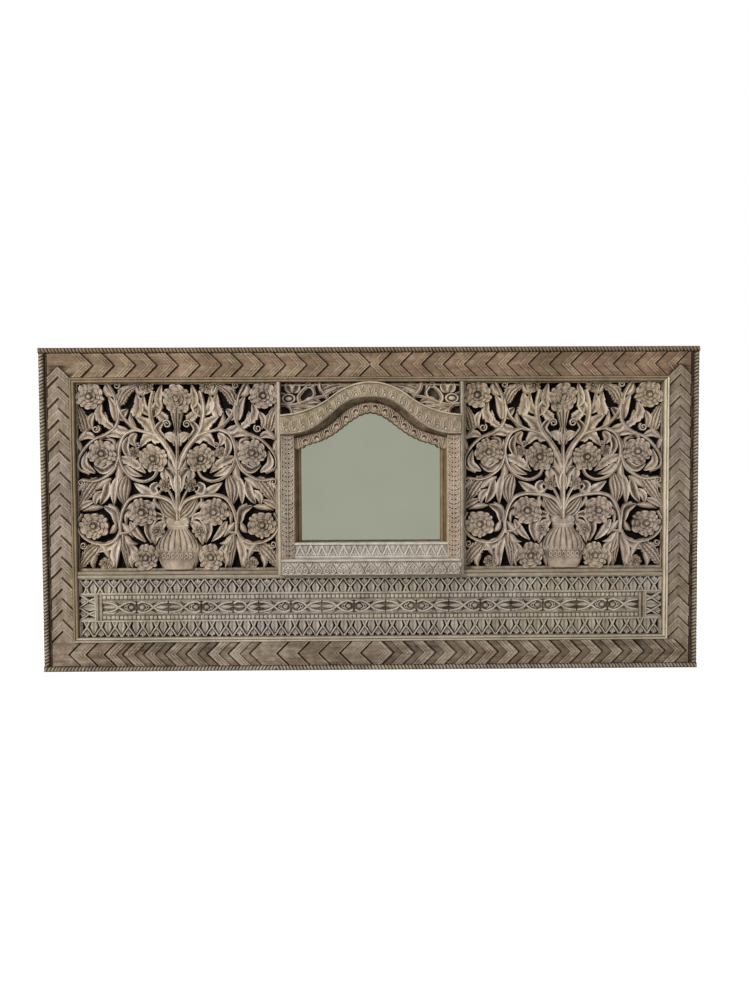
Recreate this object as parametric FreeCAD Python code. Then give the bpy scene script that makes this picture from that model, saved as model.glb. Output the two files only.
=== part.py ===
import FreeCAD, Part
import math
import os

# Carved jali wall panel with an arched mirror.
# X runs along the panel, Z up, and the front faces -Y. The origin is the middle of the
# bottom of the bounding box. A level is a distance in front of the wall plane.
Vector = FreeCAD.Vector

# Whole panel
panel_width = 2030.0
panel_height = 1000.0

# Levels of the layers, from the wall forward
batten_thickness = 22.0
back_board_thickness = 6.0
frame_board_thickness = 30.0
rim_thickness = 18.0
bead_thickness = 38.0
mid_rail_thickness = 34.0
jamb_thickness = 52.0
hood_thickness = 74.0

# Rope moulding round the outer edge
rope_width = 18.0
rope_land = 5.0
rope_pitch = 13.0
rope_notch_depth = 4.0
rope_notch_width = 5.0
rope_shoulder = 5.0
rope_land_drop = 8.0

# Chevron boards
stile_gap = 4.0
stile_width = 66.0
rail_width = 73.0
chevron_relief = 6.0
chevron_bar = 25.0
chevron_bevel = 3.0
top_chevron_pitch = 65.4
bottom_chevron_pitch = 60.3
bottom_chevron_start = 61.0
bottom_pattern_offset = 7.0
stile_chevron_pitch = 65.2
corner_point_height = 2.0
top_rail_joint = 275.0
bottom_rail_joint = 302.0
stile_joint = 303.0

# Plain double bead round the carved fields
bead_width = 17.0
bead_lip = 5.0
bead_shoulder = 5.0
lip_clearance = 0.5
bead_joint = 306.0

# Lower band of lattice and carved blocks
lattice_width = 51.0
lattice_edge = 4.0
lattice_pitch = 43.5
lattice_bar = 5.0
lattice_relief = 6.0
bead_row_width = 18.0
bead_pitch = 16.0
bead_rise = 7.0
bead_gap = 2.0
block_height = 45.0
block_length = 98.0
block_relief = 7.0
block_joint = 0.4
block_ring = 10.0
band_end_width = 20.0
band_end_thickness = 26.0
mid_fillet_height = 10.0
mid_rail_height = 12.0
mid_rail_round = 4.0

# Floral panels
rim_width = 8.0
leaf_thickness = 19.0
stem_thickness = 23.0
flower_thickness = 25.0
petal_ring_rise = 3.0
vase_thickness = 23.0
vase_relief = 6.0
trunk_width = 18.0

# Mirror frame
edge_outer = 288.0
edge_width = 13.0
edge_drop = 26.0
jamb_width = 40.0
jamb_relief = 4.0
jamb_leaf_pitch = 14.0
jamb_leaf_bar = 8.0
jamb_leaf_bevel = 1.5
trim_width = 19.0
trim_front_thickness = 46.0
trim_foot_thickness = 6.0
lower_sill_height = 49.0
lower_sill_thickness = 58.0
upper_sill_height = 50.0
upper_sill_thickness = 48.0
sill_ledge_height = 7.0
sill_ledge_overhang = 4.0
sill_relief = 4.0
shell_pitch = 41.6
tooth_pitch = 33.0
trim_height = 290.0
hood_fillet = 12.0
hood_fillet_rise = 4.0
cusp_thickness = 36.0
cusp_relief = 8.0
volute_radius = 13.0
spandrel_ground = 6.0
spandrel_relief = 16.0

# Mirror and what holds it
mirror_thickness = 4.0
mirror_cover = 16.0
mirror_clearance = 1.0
backing_thickness = 6.0
backing_flange = 14.0
backing_screw_radius = 1.5
backing_screw_head_radius = 3.5
backing_screw_head_height = 2.0
backing_screw_bite = 4.0

# Rear frame
batten_height = 70.0
batten_inset = 12.0
upright_width = 55.0
tenon_width = 34.0
tenon_thickness = 8.0
tenon_length = 20.0
mortise_clearance = 0.3

# Screws from the rear frame into the carved boards
screw_radius = 2.3
screw_head_radius = 4.8
screw_head_height = 3.0
screw_bite = 16.0
screw_clearance = 0.3

# Hanging plates let into the top batten
plate_length = 70.0
plate_height = 36.0
plate_thickness = 3.0
hang_hole_radius = 4.5
hang_pocket_radius = 9.0
hang_pocket_depth = 14.0
plate_screw_radius = 1.8
plate_screw_length = 14.0
plate_screw_spread = 24.0
plate_place = 760.0

# Overrun of cutting shapes past what they cut
overrun = 5.0

# Places along the boards, as shares of half the width or of the height between the rails
rail_screw_shares = (0.0, 0.33, 0.63, 0.92)
stile_screw_shares = (0.12, 0.45, 0.8)
backing_screw_shares = (-0.8, 0.0, 0.8)
hood_foot_share = 0.213

# Derived places across the panel
half_width = panel_width / 2
rope_inner = half_width - rope_width - rope_land
stile_outer = rope_inner - stile_gap
stile_inner = stile_outer - stile_width
stile_centre = stile_outer - stile_width / 2
sight_side = stile_inner - bead_width
band_end_outer = sight_side - lattice_width
band_end_inner = band_end_outer - band_end_width
jamb_outer = edge_outer - edge_width
jamb_inner = jamb_outer - jamb_width
mirror_sight = jamb_inner - trim_width
mirror_half = mirror_sight + mirror_cover

# Derived places up the panel
bottom_rail_top = rope_width + rail_width
top_rail_top = panel_height - rope_width
top_rail_bottom = top_rail_top - rail_width
sight_bottom = bottom_rail_top + bead_width
sight_top = top_rail_bottom - bead_width
lower_beads_bottom = sight_bottom + lattice_width
blocks_bottom = lower_beads_bottom + bead_row_width
upper_beads_bottom = blocks_bottom + block_height
top_lattice_bottom = upper_beads_bottom + bead_row_width
mid_fillet_bottom = top_lattice_bottom + lattice_width
mid_rail_bottom = mid_fillet_bottom + mid_fillet_height
floral_bottom = mid_rail_bottom + mid_rail_height
lower_sill_top = mid_rail_bottom + lower_sill_height
upper_sill_top = lower_sill_top + upper_sill_height
arch_spring = upper_sill_top + trim_height
arch_rise = sight_top - arch_spring
hood_foot = arch_spring + arch_rise * hood_foot_share
gable_height = stile_width / 2
stile_point = top_rail_bottom + corner_point_height + gable_height

# Derived levels
ground = batten_thickness + back_board_thickness
frame_face = ground + frame_board_thickness
rim_face = ground + rim_thickness
bead_face = ground + bead_thickness
hood_face = ground + hood_thickness
overall_depth = hood_face


def level_y(level):
    return overall_depth / 2 - level


def slab(x_from, x_to, z_from, z_to, low, high):
    """Rectangular board between two levels."""
    corner = Vector(x_from, level_y(high), z_from)
    return Part.makeBox(x_to - x_from, high - low, z_to - z_from, corner)


def flat(point):
    return Vector(point[0], 0, point[1])


def outline(start, *steps):
    """Closed face in the XZ plane. A step is an end point, or a point on an arc and its end."""
    edges = []
    here = start
    for step in steps + ((start,),):
        end = step[-1]
        if len(step) > 1:
            edges.append(Part.Arc(flat(here), flat(step[0]), flat(end)).toShape())
        elif math.dist(here, end) > 0:
            edges.append(Part.LineSegment(flat(here), flat(end)).toShape())
        here = end
    return Part.Face(Part.Wire(edges))


def polygon(points):
    return outline(points[0], *[(point,) for point in points[1:]])


def disc(x, z, radius):
    circle = Part.Circle(Vector(x, 0, z), Vector(0, 1, 0), radius)
    return Part.Face(Part.Wire(circle.toShape()))


def raised(face, low, high):
    """Flat shape thickened between two levels."""
    return face.translated(Vector(0, level_y(low), 0)).extrude(Vector(0, low - high, 0))


def joined(solids):
    return solids[0].multiFuse(solids[1:]).removeSplitter()


def raised_together(faces, low, high):
    """Flat shapes that overlap, thickened between two levels as one."""
    return joined([raised(face, low, high) for face in faces])


def turned(x, z, runs):
    """Solid turned about a line square to the wall. A run is a place out from the line and its
    level, or a place on an arc and its end."""
    def spot(place):
        return Vector(x + place[0], level_y(place[1]), z)
    edges = []
    here = runs[0][-1]
    for run in runs[1:]:
        if len(run) > 1:
            edges.append(Part.Arc(spot(here), spot(run[0]), spot(run[1])).toShape())
        else:
            edges.append(Part.LineSegment(spot(here), spot(run[0])).toShape())
        here = run[-1]
    return Part.Face(Part.Wire(edges)).revolve(Vector(x, 0, z), Vector(0, 1, 0), 360)


def cut_away(shape, tools):
    return shape.cut(Part.makeCompound(tools))


def mirrored(shape):
    return shape.mirror(Vector(0, 0, 0), Vector(1, 0, 0))


def peg(x, z, radius, low, high):
    """Round bar square to the wall, between two levels."""
    return Part.makeCylinder(radius, high - low, Vector(x, level_y(low), z), Vector(0, -1, 0))


def countersink(x, z, wide, narrow, low, high):
    return Part.makeCone(wide, narrow, high - low, Vector(x, level_y(low), z), Vector(0, -1, 0))


def upended(shape, x, z):
    """Turns a piece drawn along X to stand along Z, with its start at x and z."""
    standing = shape.copy()
    standing.rotate(Vector(0, 0, 0), Vector(0, 1, 0), -90)
    return standing.translated(Vector(x, 0, z))


def section_run(points, x_from, x_to):
    """Straight moulding along X from a section given as places across it and levels."""
    places = [Vector(x_from, level_y(level), across) for across, level in points]
    face = Part.Face(Part.makePolygon(places + places[:1]))
    return face.extrude(Vector(x_to - x_from, 0, 0))


def level_wire(x, points):
    """Section face in the XY plane at Z zero, from places along X and levels."""
    places = [Vector(x + along, level_y(level), 0) for along, level in points]
    return Part.Face(Part.makePolygon(places + places[:1]))


def chevron_half(ends, x_from, x_to, half_face, thickness, relief, bar, bevel, side, lean):
    """Board half, above or below its middle line, with bars leaning back from their points."""
    face_level = ground + thickness
    points = [(x_from - 2 * half_face, ground), (x_from - 2 * half_face, face_level)]
    for end in sorted(ends):
        points += [(end - bar, face_level), (end - bar + bevel, face_level + relief)]
        points += [(end - bevel, face_level + relief), (end, face_level)]
    points += [(x_to + 2 * half_face, face_level), (x_to + 2 * half_face, ground)]
    comb = level_wire(0, points).extrude(Vector(lean * half_face, 0, side * half_face))
    low, high = sorted((0, side * half_face))
    return comb.common(slab(x_from, x_to, low, high, ground, face_level + relief))


def chevron_board(ends, x_from, x_to, width, lean, thickness, relief, bar, bevel):
    """Board along X centred on Z zero. Bars end at ends and lean to -X or +X from there."""
    halves = []
    for side in (1, -1):
        halves.append(chevron_half(ends, x_from, x_to, width / 2, thickness, relief, bar, bevel,
                                   side, lean))
    return joined(halves)


def rail_run(ends, x_from, x_to, lean):
    return chevron_board(ends, x_from, x_to, rail_width, lean, frame_board_thickness,
                         chevron_relief, chevron_bar, chevron_bevel)


def top_rail(x_from, x_to):
    """Stretch of the top rail: points meet at the middle of the panel."""
    middle = top_rail_bottom + rail_width / 2
    count = int((stile_inner - chevron_bar - rail_width / 2) / top_chevron_pitch) + 1
    pieces = []
    if x_from < 0:
        ends = [-top_chevron_pitch * index for index in range(count)]
        pieces.append(rail_run(ends, x_from, min(x_to, 0), -1))
    if x_to > 0:
        ends = [top_chevron_pitch * index + chevron_bar for index in range(count)]
        pieces.append(rail_run(ends, max(x_from, 0), x_to, 1))
    rail = pieces[0] if len(pieces) == 1 else joined(pieces)
    rail = rail.translated(Vector(0, 0, middle))
    notches = [raised(gable(sign), ground - overrun, frame_face + chevron_relief + overrun)
               for sign in (1, -1)]
    return cut_away(rail, notches)


def bottom_rail(x_from, x_to):
    """Stretch of the bottom rail: points run outwards from a diamond near the middle."""
    middle = rope_width + rail_width / 2
    centre = bottom_pattern_offset
    count = int((stile_outer - bottom_chevron_start) / bottom_chevron_pitch) + 1
    places = [bottom_chevron_start + bottom_chevron_pitch * index for index in range(count)]
    pieces = []
    if x_from < centre:
        ends = [centre - place + chevron_bar for place in places]
        pieces.append(rail_run(ends, x_from, min(x_to, centre), 1))
    if x_to > centre:
        ends = [centre + place for place in places]
        pieces.append(rail_run(ends, max(x_from, centre), x_to, -1))
    rail = pieces[0] if len(pieces) == 1 else joined(pieces)
    return rail.translated(Vector(0, 0, middle))


def gable(sign):
    """Pointed head of a stile, which the top rail is notched for."""
    foot = top_rail_bottom
    shoulder = stile_point - gable_height
    return polygon([(sign * stile_outer, foot), (sign * stile_outer, shoulder),
                    (sign * stile_centre, stile_point), (sign * stile_inner, shoulder),
                    (sign * stile_inner, foot)])


def chevron_stiles(sign):
    """Upper and lower board of one side. The top bar of the upper one forms its point."""
    count = int((stile_point - bottom_rail_top) / stile_chevron_pitch)
    ends = [stile_point - stile_chevron_pitch * index for index in range(count)]
    boards = {}
    for name, foot, head in (("lower", bottom_rail_top, stile_joint),
                             ("upper", stile_joint, stile_point)):
        board = chevron_board(ends, foot, head, stile_width, -1, frame_board_thickness,
                              chevron_relief, chevron_bar, chevron_bevel)
        board = upended(board, sign * stile_centre, 0)
        outside = [(sign * stile_outer, foot), (sign * stile_inner, foot)]
        if name == "upper":
            outside += [(sign * stile_inner, stile_point - gable_height),
                        (sign * stile_centre, stile_point),
                        (sign * stile_outer, stile_point - gable_height)]
        else:
            outside += [(sign * stile_inner, head), (sign * stile_outer, head)]
        keep = raised(polygon(outside), ground, frame_face + chevron_relief)
        boards[name] = board.common(keep)
    return boards


def rope_bar(length, land, lean):
    """Rope moulding along X from zero, lying across Z from zero, with land on its inner edge."""
    top = bead_face
    width = rope_width + land
    section = [(0, ground), (0, top - rope_shoulder), (rope_shoulder, top),
               (rope_width - rope_shoulder, top), (rope_width, top - rope_shoulder)]
    if land > 0:
        section += [(rope_width, top - rope_land_drop), (width, top - rope_land_drop)]
    section += [(width, ground)]
    bar = section_run(section, 0, length)
    count = int(length / rope_pitch)
    notches = []
    for index in range(count):
        along = (index + 0.5) * length / count
        vee = [(along - rope_notch_width / 2, top + overrun), (along, top - rope_notch_depth),
               (along + rope_notch_width / 2, top + overrun)]
        wide = level_wire(0, vee)
        shift = Vector(-lean * rope_width / 2, 0, 0)
        notches.append(wide.translated(shift).extrude(Vector(lean * rope_width, 0, rope_width)))
    return cut_away(bar, notches)


def rope_mouldings():
    """Four rope strips: the long ones run past the upright ones."""
    long_bar = rope_bar(panel_width, 0, 1)
    lower = long_bar.translated(Vector(-half_width, 0, 0))
    upper = long_bar.copy()
    upper.rotate(Vector(0, 0, 0), Vector(0, 1, 0), 180)
    upper = upper.translated(Vector(half_width, 0, panel_height))
    side = rope_bar(top_rail_top - rope_width, rope_land, -1)
    right = upended(side, half_width, rope_width)
    left = side.copy()
    left.rotate(Vector(0, 0, 0), Vector(0, 1, 0), 90)
    left = left.translated(Vector(-half_width, 0, top_rail_top))
    return {"top": upper, "bottom": lower, "left": left, "right": right}


def bead_section():
    """Double bead, its outer edge at zero, with a rebate behind the inner edge for the infill."""
    base = bead_width - bead_lip
    half = bead_width / 2
    top = bead_face
    return [(0, ground), (0, top - bead_shoulder), (bead_shoulder / 2, top),
            (half - bead_shoulder / 2, top), (half, top - bead_shoulder / 2),
            (half + bead_shoulder / 2, top), (bead_width - bead_shoulder, top),
            (bead_width, top - bead_shoulder), (bead_width, rim_face), (base, rim_face),
            (base, ground)]


def mitred(run, sign_x, sign_z):
    """Keeps the part of a bead run between its two mitres."""
    reach = bead_width
    if sign_x == 0:
        outer = bottom_rail_top if sign_z < 0 else top_rail_bottom
        inner = outer - sign_z * reach
        corners = [(-stile_inner, outer), (stile_inner, outer),
                   (stile_inner - reach, inner), (reach - stile_inner, inner)]
    else:
        outer = sign_x * stile_inner
        inner = sign_x * (stile_inner - reach)
        corners = [(outer, bottom_rail_top), (outer, top_rail_bottom),
                   (inner, top_rail_bottom - reach), (inner, bottom_rail_top + reach)]
    return run.common(raised(polygon(corners), ground, bead_face))


def beads():
    """Bead mouldings round the infill, mitred at the corners, with the top one in three lengths."""
    length = 2 * stile_inner
    run = section_run(bead_section(), 0, length)
    bottom = run.translated(Vector(-stile_inner, 0, bottom_rail_top))
    top = run.copy()
    top.rotate(Vector(0, 0, 0), Vector(0, 1, 0), 180)
    top = mitred(top.translated(Vector(stile_inner, 0, top_rail_bottom)), 0, 1)
    rise = top_rail_bottom - bottom_rail_top
    side = section_run(bead_section(), 0, rise)
    right = mitred(upended(side, stile_inner, bottom_rail_top), 1, 0)
    made = {"bead_bottom": mitred(bottom, 0, -1), "bead_right": right,
            "bead_left": mirrored(right)}
    splits = (("left", -stile_inner, -bead_joint), ("centre", -bead_joint, bead_joint),
              ("right", bead_joint, stile_inner))
    for name, x_from, x_to in splits:
        window = slab(x_from, x_to, sight_top, top_rail_bottom, ground, bead_face)
        made["bead_top_" + name] = top.common(window)
    return made


def lens(start, end, width):
    """Pointed leaf plan between two points."""
    middle_x = (start[0] + end[0]) / 2
    middle_z = (start[1] + end[1]) / 2
    length = math.dist(start, end)
    across_x = -(end[1] - start[1]) / length * width / 2
    across_z = (end[0] - start[0]) / length * width / 2
    one = (middle_x + across_x, middle_z + across_z)
    other = (middle_x - across_x, middle_z - across_z)
    return outline(start, (one, end), (other, start))


def arc_band(start, through, end, width):
    """Stem plan of even width along an arc, with round ends."""
    curve = Part.Arc(flat(start), flat(through), flat(end)).toShape().Curve
    centre = curve.Center
    reach = width / 2
    radius = curve.Radius
    rim = []
    for offset in (reach, -reach):
        share = (radius + offset) / radius
        rim.append([centre + (flat(point) - centre) * share for point in (start, through, end)])
    outer, inner = rim
    edges = [Part.Arc(*outer).toShape(), Part.LineSegment(outer[2], inner[2]).toShape(),
             Part.Arc(*reversed(inner)).toShape(), Part.LineSegment(inner[0], outer[0]).toShape()]
    return Part.Face(Part.Wire(edges))


# Lattice proportions: height of the crossings in the strip, and the leaf's width in the pitch
lattice_cross_share = 0.34
lattice_leaf_share = 0.42


def lattice_plans(pitch):
    """Flat plans over one bay of lattice and its neighbours: rims, crossed bars and leaves."""
    cross = lattice_width * lattice_cross_share
    plans = []
    for foot in (0, lattice_width - lattice_edge):
        plans.append(polygon([(-pitch, foot), (2 * pitch, foot), (2 * pitch, foot + lattice_edge),
                              (-pitch, foot + lattice_edge)]))
    for index in (-1, 0, 1):
        middle = index * pitch + pitch / 2
        for lean in (1, -1):
            low = middle - lean * cross
            high = middle + lean * (lattice_width - cross)
            plans.append(polygon([(low - lattice_bar / 2, 0), (low + lattice_bar / 2, 0),
                                  (high + lattice_bar / 2, lattice_width),
                                  (high - lattice_bar / 2, lattice_width)]))
    for x in (0, pitch):
        plans.append(lens((x, lattice_edge / 2), (x, lattice_width - cross),
                          pitch * lattice_leaf_share))
    plans.append(disc(pitch / 2, cross, lattice_bar))
    return plans


def lattice_bay(pitch, hem):
    """One bay of lattice along X from zero, standing on a ground board that is wider by a hem."""
    crest = rim_face + lattice_relief
    relief = raised_together(lattice_plans(pitch), ground, crest)
    room = slab(0, pitch, 0, lattice_width, ground, crest)
    floor = slab(0, pitch, 0, lattice_width + hem, ground, rim_face)
    return joined([floor, relief.common(room)])


def lattice_strip(length, hem):
    """Strip of equal bays along X from zero, in one board."""
    count = max(2, round(length / lattice_pitch))
    pitch = length / count
    bay = lattice_bay(pitch, hem)
    bays = [bay.translated(Vector(index * pitch, 0, 0)) for index in range(count)]
    return bays[0].multiFuse(bays[1:])


def overturned(strip):
    """Turns a lattice strip over, so that its crossings lie near its far edge."""
    return strip.mirror(Vector(0, 0, lattice_width / 2), Vector(0, 0, 1))


def lattice_strips():
    """Frame of lattice round the lower band. The outer hems tuck under the bead lips."""
    tuck = bead_lip - lip_clearance
    row = 2 * sight_side
    top = lattice_strip(row, 0).translated(Vector(-sight_side, 0, top_lattice_bottom))
    low = overturned(lattice_strip(row, tuck)).translated(Vector(-sight_side, 0, sight_bottom))
    column = overturned(lattice_strip(top_lattice_bottom - lower_beads_bottom, tuck))
    right = upended(column, sight_side, lower_beads_bottom)
    return {"lattice_top": top, "lattice_bottom": low, "lattice_right": right,
            "lattice_left": mirrored(right)}


def bead_row(z_from):
    """Row of small pillow beads between the end strips."""
    length = 2 * band_end_inner
    count = round(length / bead_pitch)
    pitch = length / count
    level = ground + rim_thickness
    edges = []
    here = Vector(0, level_y(level), 0)
    start = here
    for index in range(count):
        first = Vector(index * pitch + bead_gap / 2, level_y(level), 0)
        last = Vector((index + 1) * pitch - bead_gap / 2, level_y(level), 0)
        top = Vector((index + 0.5) * pitch, level_y(level + bead_rise), 0)
        edges.append(Part.LineSegment(here, first).toShape())
        edges.append(Part.Arc(first, top, last).toShape())
        here = last
    corners = [here, Vector(length, level_y(level), 0), Vector(length, level_y(ground), 0),
               Vector(0, level_y(ground), 0), start]
    for one, other in zip(corners, corners[1:]):
        edges.append(Part.LineSegment(one, other).toShape())
    row = Part.Face(Part.Wire(edges)).extrude(Vector(0, 0, bead_row_width))
    return row.translated(Vector(-band_end_inner, 0, z_from))


# Place of the round eye in a carved block as a share of the block's length
eye_share = 0.8


def carved_block(length):
    """Block along X from zero: crossed leaves, then half a ringed oval round an eye at its end."""
    middle = block_height / 2
    waist = length / 2
    crest = rim_face + block_relief
    oval = raised(lens((waist, middle), (length + waist, middle), block_height), ground, crest)
    hollow = raised(lens((waist + block_ring, middle), (length + waist - block_ring, middle),
                         block_height - block_ring), ground, crest)
    pieces = [oval.cut(hollow), peg(length * eye_share, middle, block_ring, ground, crest)]
    for edge in (0, block_height):
        for start, end in ((middle, edge), (edge, middle)):
            leaf = lens((waist + block_ring / 2, start), (-block_ring, end), block_ring)
            pieces.append(raised(leaf, ground, crest))
    carving = joined(pieces).common(slab(0, length, 0, block_height, ground, crest))
    return joined([slab(0, length, 0, block_height, ground, rim_face), carving])


def carved_blocks():
    """Row of carved blocks, laid end to end with a hairline joint, facing each other in pairs."""
    row = 2 * band_end_inner
    count = max(1, round(row / block_length))
    step = row / count
    length = step - block_joint
    ahead = carved_block(length)
    back = ahead.mirror(Vector(length / 2, 0, 0), Vector(1, 0, 0))
    blocks = []
    for index in range(count):
        x = index * step + block_joint / 2 - band_end_inner
        block = ahead if index % 2 == 1 else back
        blocks.append(block.translated(Vector(x, 0, blocks_bottom)))
    return Part.makeCompound(blocks)


def band_ends():
    """Plain strips at both ends of the beads and blocks."""
    right = slab(band_end_inner, band_end_outer, lower_beads_bottom, top_lattice_bottom,
                 ground, ground + band_end_thickness)
    return Part.makeCompound([mirrored(right), right])


def mid_fillet():
    """Long plain strip over the lower band."""
    return slab(-sight_side, sight_side, mid_fillet_bottom, mid_rail_bottom, ground,
                ground + mid_rail_thickness)


def mid_rail():
    """Rounded plain rail under the right floral panel."""
    top = ground + mid_rail_thickness
    section = [(mid_rail_bottom, ground), (mid_rail_bottom, top - mid_rail_round),
               (mid_rail_bottom + mid_rail_round, top), (floral_bottom - mid_rail_round, top),
               (floral_bottom, top - mid_rail_round), (floral_bottom, ground)]
    return section_run(section, edge_outer, sight_side)


# Floral panel layout. Places are shares of half the panel's width from its middle and of its
# height from its foot, and sizes are shares of half the width.
flower_shares = ((0.35, 0.327, 0.137), (0.34, 0.083, 0.123), (0.84, 0.25, 0.139),
                 (0.76, 0.055, 0.07), (0.215, 0.219, 0.066), (0.165, 0.473, 0.084),
                 (0.24, 0.606, 0.133), (0.425, 0.637, 0.058), (0.735, 0.646, 0.133),
                 (0.85, 0.93, 0.13), (0.535, 0.222, 0.045))
crown_flower_shares = (0.0, 0.918, 0.15)
stem_shares = (((0.0, 0.323), (0.1, 0.401), (0.24, 0.42), 0.036),
               ((0.24, 0.42), (0.47, 0.412), (0.58, 0.344), 0.036),
               ((0.58, 0.344), (0.61, 0.271), (0.57, 0.193), 0.04),
               ((0.59, 0.271), (0.66, 0.193), (0.82, 0.159), 0.034),
               ((0.82, 0.159), (0.9, 0.156), (0.99, 0.16), 0.034),
               ((0.58, 0.361), (0.8, 0.375), (0.97, 0.306), 0.034),
               ((0.12, 0.3), (0.33, 0.25), (0.29, 0.14), 0.034),
               ((0.0, 0.545), (0.1, 0.677), (0.23, 0.763), 0.05),
               ((0.23, 0.763), (0.27, 0.832), (0.262, 0.935), 0.044),
               ((0.14, 0.71), (0.3, 0.75), (0.46, 0.758), 0.036),
               ((0.48, 0.754), (0.58, 0.677), (0.59, 0.582), 0.034),
               ((0.59, 0.582), (0.67, 0.513), (0.86, 0.465), 0.034),
               ((0.9, 0.706), (0.73, 0.746), (0.61, 0.803), 0.034),
               ((0.61, 0.803), (0.585, 0.85), (0.61, 0.908), 0.034),
               ((0.61, 0.908), (0.58, 0.95), (0.5, 0.992), 0.03),
               ((0.52, 0.513), (0.38, 0.499), (0.32, 0.556), 0.036),
               ((0.16, 0.565), (0.2, 0.516), (0.31, 0.496), 0.028))
leaf_shares = (((0.02, 0.306), (0.2, 0.389), 0.11), ((0.53, 0.496), (0.57, 0.371), 0.135),
               ((0.31, 0.435), (0.47, 0.482), 0.065), ((0.62, 0.496), (0.66, 0.385), 0.065),
               ((0.74, 0.44), (0.8, 0.344), 0.08), ((0.98, 0.496), (0.9, 0.358), 0.14),
               ((0.83, 0.154), (0.97, 0.016), 0.14), ((0.56, 0.2), (0.5, 0.055), 0.066),
               ((0.6, 0.202), (0.65, 0.043), 0.07), ((0.56, 0.21), (0.36, 0.154), 0.07),
               ((0.83, 0.349), (0.67, 0.268), 0.06), ((0.17, 0.706), (0.4, 0.672), 0.11),
               ((0.46, 0.751), (0.42, 0.651), 0.07), ((0.5, 0.746), (0.52, 0.62), 0.05),
               ((0.23, 0.758), (0.43, 0.824), 0.11), ((0.45, 0.755), (0.535, 0.879), 0.07),
               ((0.4, 0.81), (0.4, 0.927), 0.11), ((0.56, 0.931), (0.38, 0.995), 0.135),
               ((0.63, 0.907), (0.67, 0.99), 0.06), ((0.6, 0.825), (0.7, 0.945), 0.08),
               ((0.7, 0.824), (0.8, 0.893), 0.1), ((0.9, 0.729), (0.94, 0.893), 0.12),
               ((0.81, 0.746), (0.66, 0.803), 0.065), ((0.79, 0.734), (0.56, 0.741), 0.065),
               ((0.58, 0.599), (0.38, 0.551), 0.1), ((0.85, 0.608), (0.85, 0.534), 0.085),
               ((0.86, 0.703), (0.97, 0.565), 0.07), ((0.19, 0.907), (0.14, 0.988), 0.07),
               ((0.26, 0.82), (0.16, 0.91), 0.08), ((0.29, 0.936), (0.19, 0.995), 0.065),
               ((0.27, 0.927), (0.34, 0.995), 0.07), ((0.02, 0.729), (0.15, 0.798), 0.085),
               ((0.61, 0.15), (0.79, 0.107), 0.052), ((0.67, 0.03), (0.76, 0.107), 0.045),
               ((0.51, 0.08), (0.63, 0.005), 0.05), ((0.1, 0.565), (0.2, 0.51), 0.06),
               ((0.72, 0.5), (0.82, 0.44), 0.06), ((0.9, 0.39), (0.99, 0.33), 0.06),
               ((0.6, 0.55), (0.75, 0.5), 0.05), ((0.02, 0.6), (0.12, 0.53), 0.05))
# Half outline of the vase from foot to lip: end of each run, and a point on it where it is an arc
vase_shares = (((0.0, 0.0),), ((0.165, 0.0),), ((0.16, 0.035),), ((0.215, 0.062), (0.235, 0.125)),
               ((0.2, 0.18), (0.115, 0.235)), ((0.1, 0.25),), ((0.135, 0.262), (0.1, 0.29)),
               ((0.045, 0.305),))
vase_belly_shares = (((0.0, 0.045),), ((0.12, 0.045),), ((0.17, 0.07), (0.185, 0.12)),
                     ((0.15, 0.17), (0.085, 0.215)))
crown_leaf_shares = ((0.0, 0.72), (0.0, 0.86), 0.13)
petal_ring_share = 0.66
flower_heart_share = 0.3
heart_dome_share = 0.45
trunk_shares = (0.28, 0.88)
floral_form_share = 0.5328


def floral_place(share, middle, half, side):
    return (middle + side * share[0] * half, floral_bottom + share[1] * (sight_top - floral_bottom))


def floral_unit():
    """Size that leaves, stems and flowers follow: the larger way the panel has grown."""
    half = (sight_side - edge_outer) / 2
    return max(half, (sight_top - floral_bottom) * floral_form_share)


def floral_vase(middle, half, runs, level):
    """Both halves of a vase from a half outline that starts at its foot."""
    foot = runs[0][-1][1]
    start = floral_place((0.0, foot), middle, half, 1)
    right = [tuple(floral_place(share, middle, half, 1) for share in run) for run in runs]
    top = floral_place((0.0, runs[-1][-1][1]), middle, half, 1)
    side = raised(outline(start, *right, (top,)), ground, level)
    return [side, side.mirror(Vector(middle, 0, 0), Vector(1, 0, 0))]


def floral_flower(middle, half, share, side):
    """Domed flower: bevelled petals, a raised inner ring that falls to the heart, and the heart."""
    x, z = floral_place(share, middle, half, side)
    radius = share[2] * floral_unit()
    face = ground + flower_thickness
    ring = radius * petal_ring_share
    heart = radius * flower_heart_share
    dome = heart * heart_dome_share
    ball = (heart ** 2 + dome ** 2) / (2 * dome)
    lean = math.asin(heart / ball) / 2
    shoulder = (ball * math.sin(lean), face + dome - ball + ball * math.cos(lean))
    return turned(x, z, [((0, ground),), ((radius, ground),), ((radius, face - petal_ring_rise),),
                         ((ring, face),), ((ring, face + petal_ring_rise),), ((heart, face),),
                         (shoulder, (0, face + dome)), ((0, ground),)])


def floral_rim():
    """Rim round the right floral panel, tucked under the bead lips above and outside."""
    tuck = bead_lip - lip_clearance
    board = slab(edge_outer, sight_side + tuck, floral_bottom, sight_top + tuck, ground, rim_face)
    thin = rim_width / 2
    window = slab(edge_outer + rim_width, sight_side - thin, floral_bottom + rim_width,
                  sight_top - thin, ground, rim_face)
    return board.cut(window)


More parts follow.
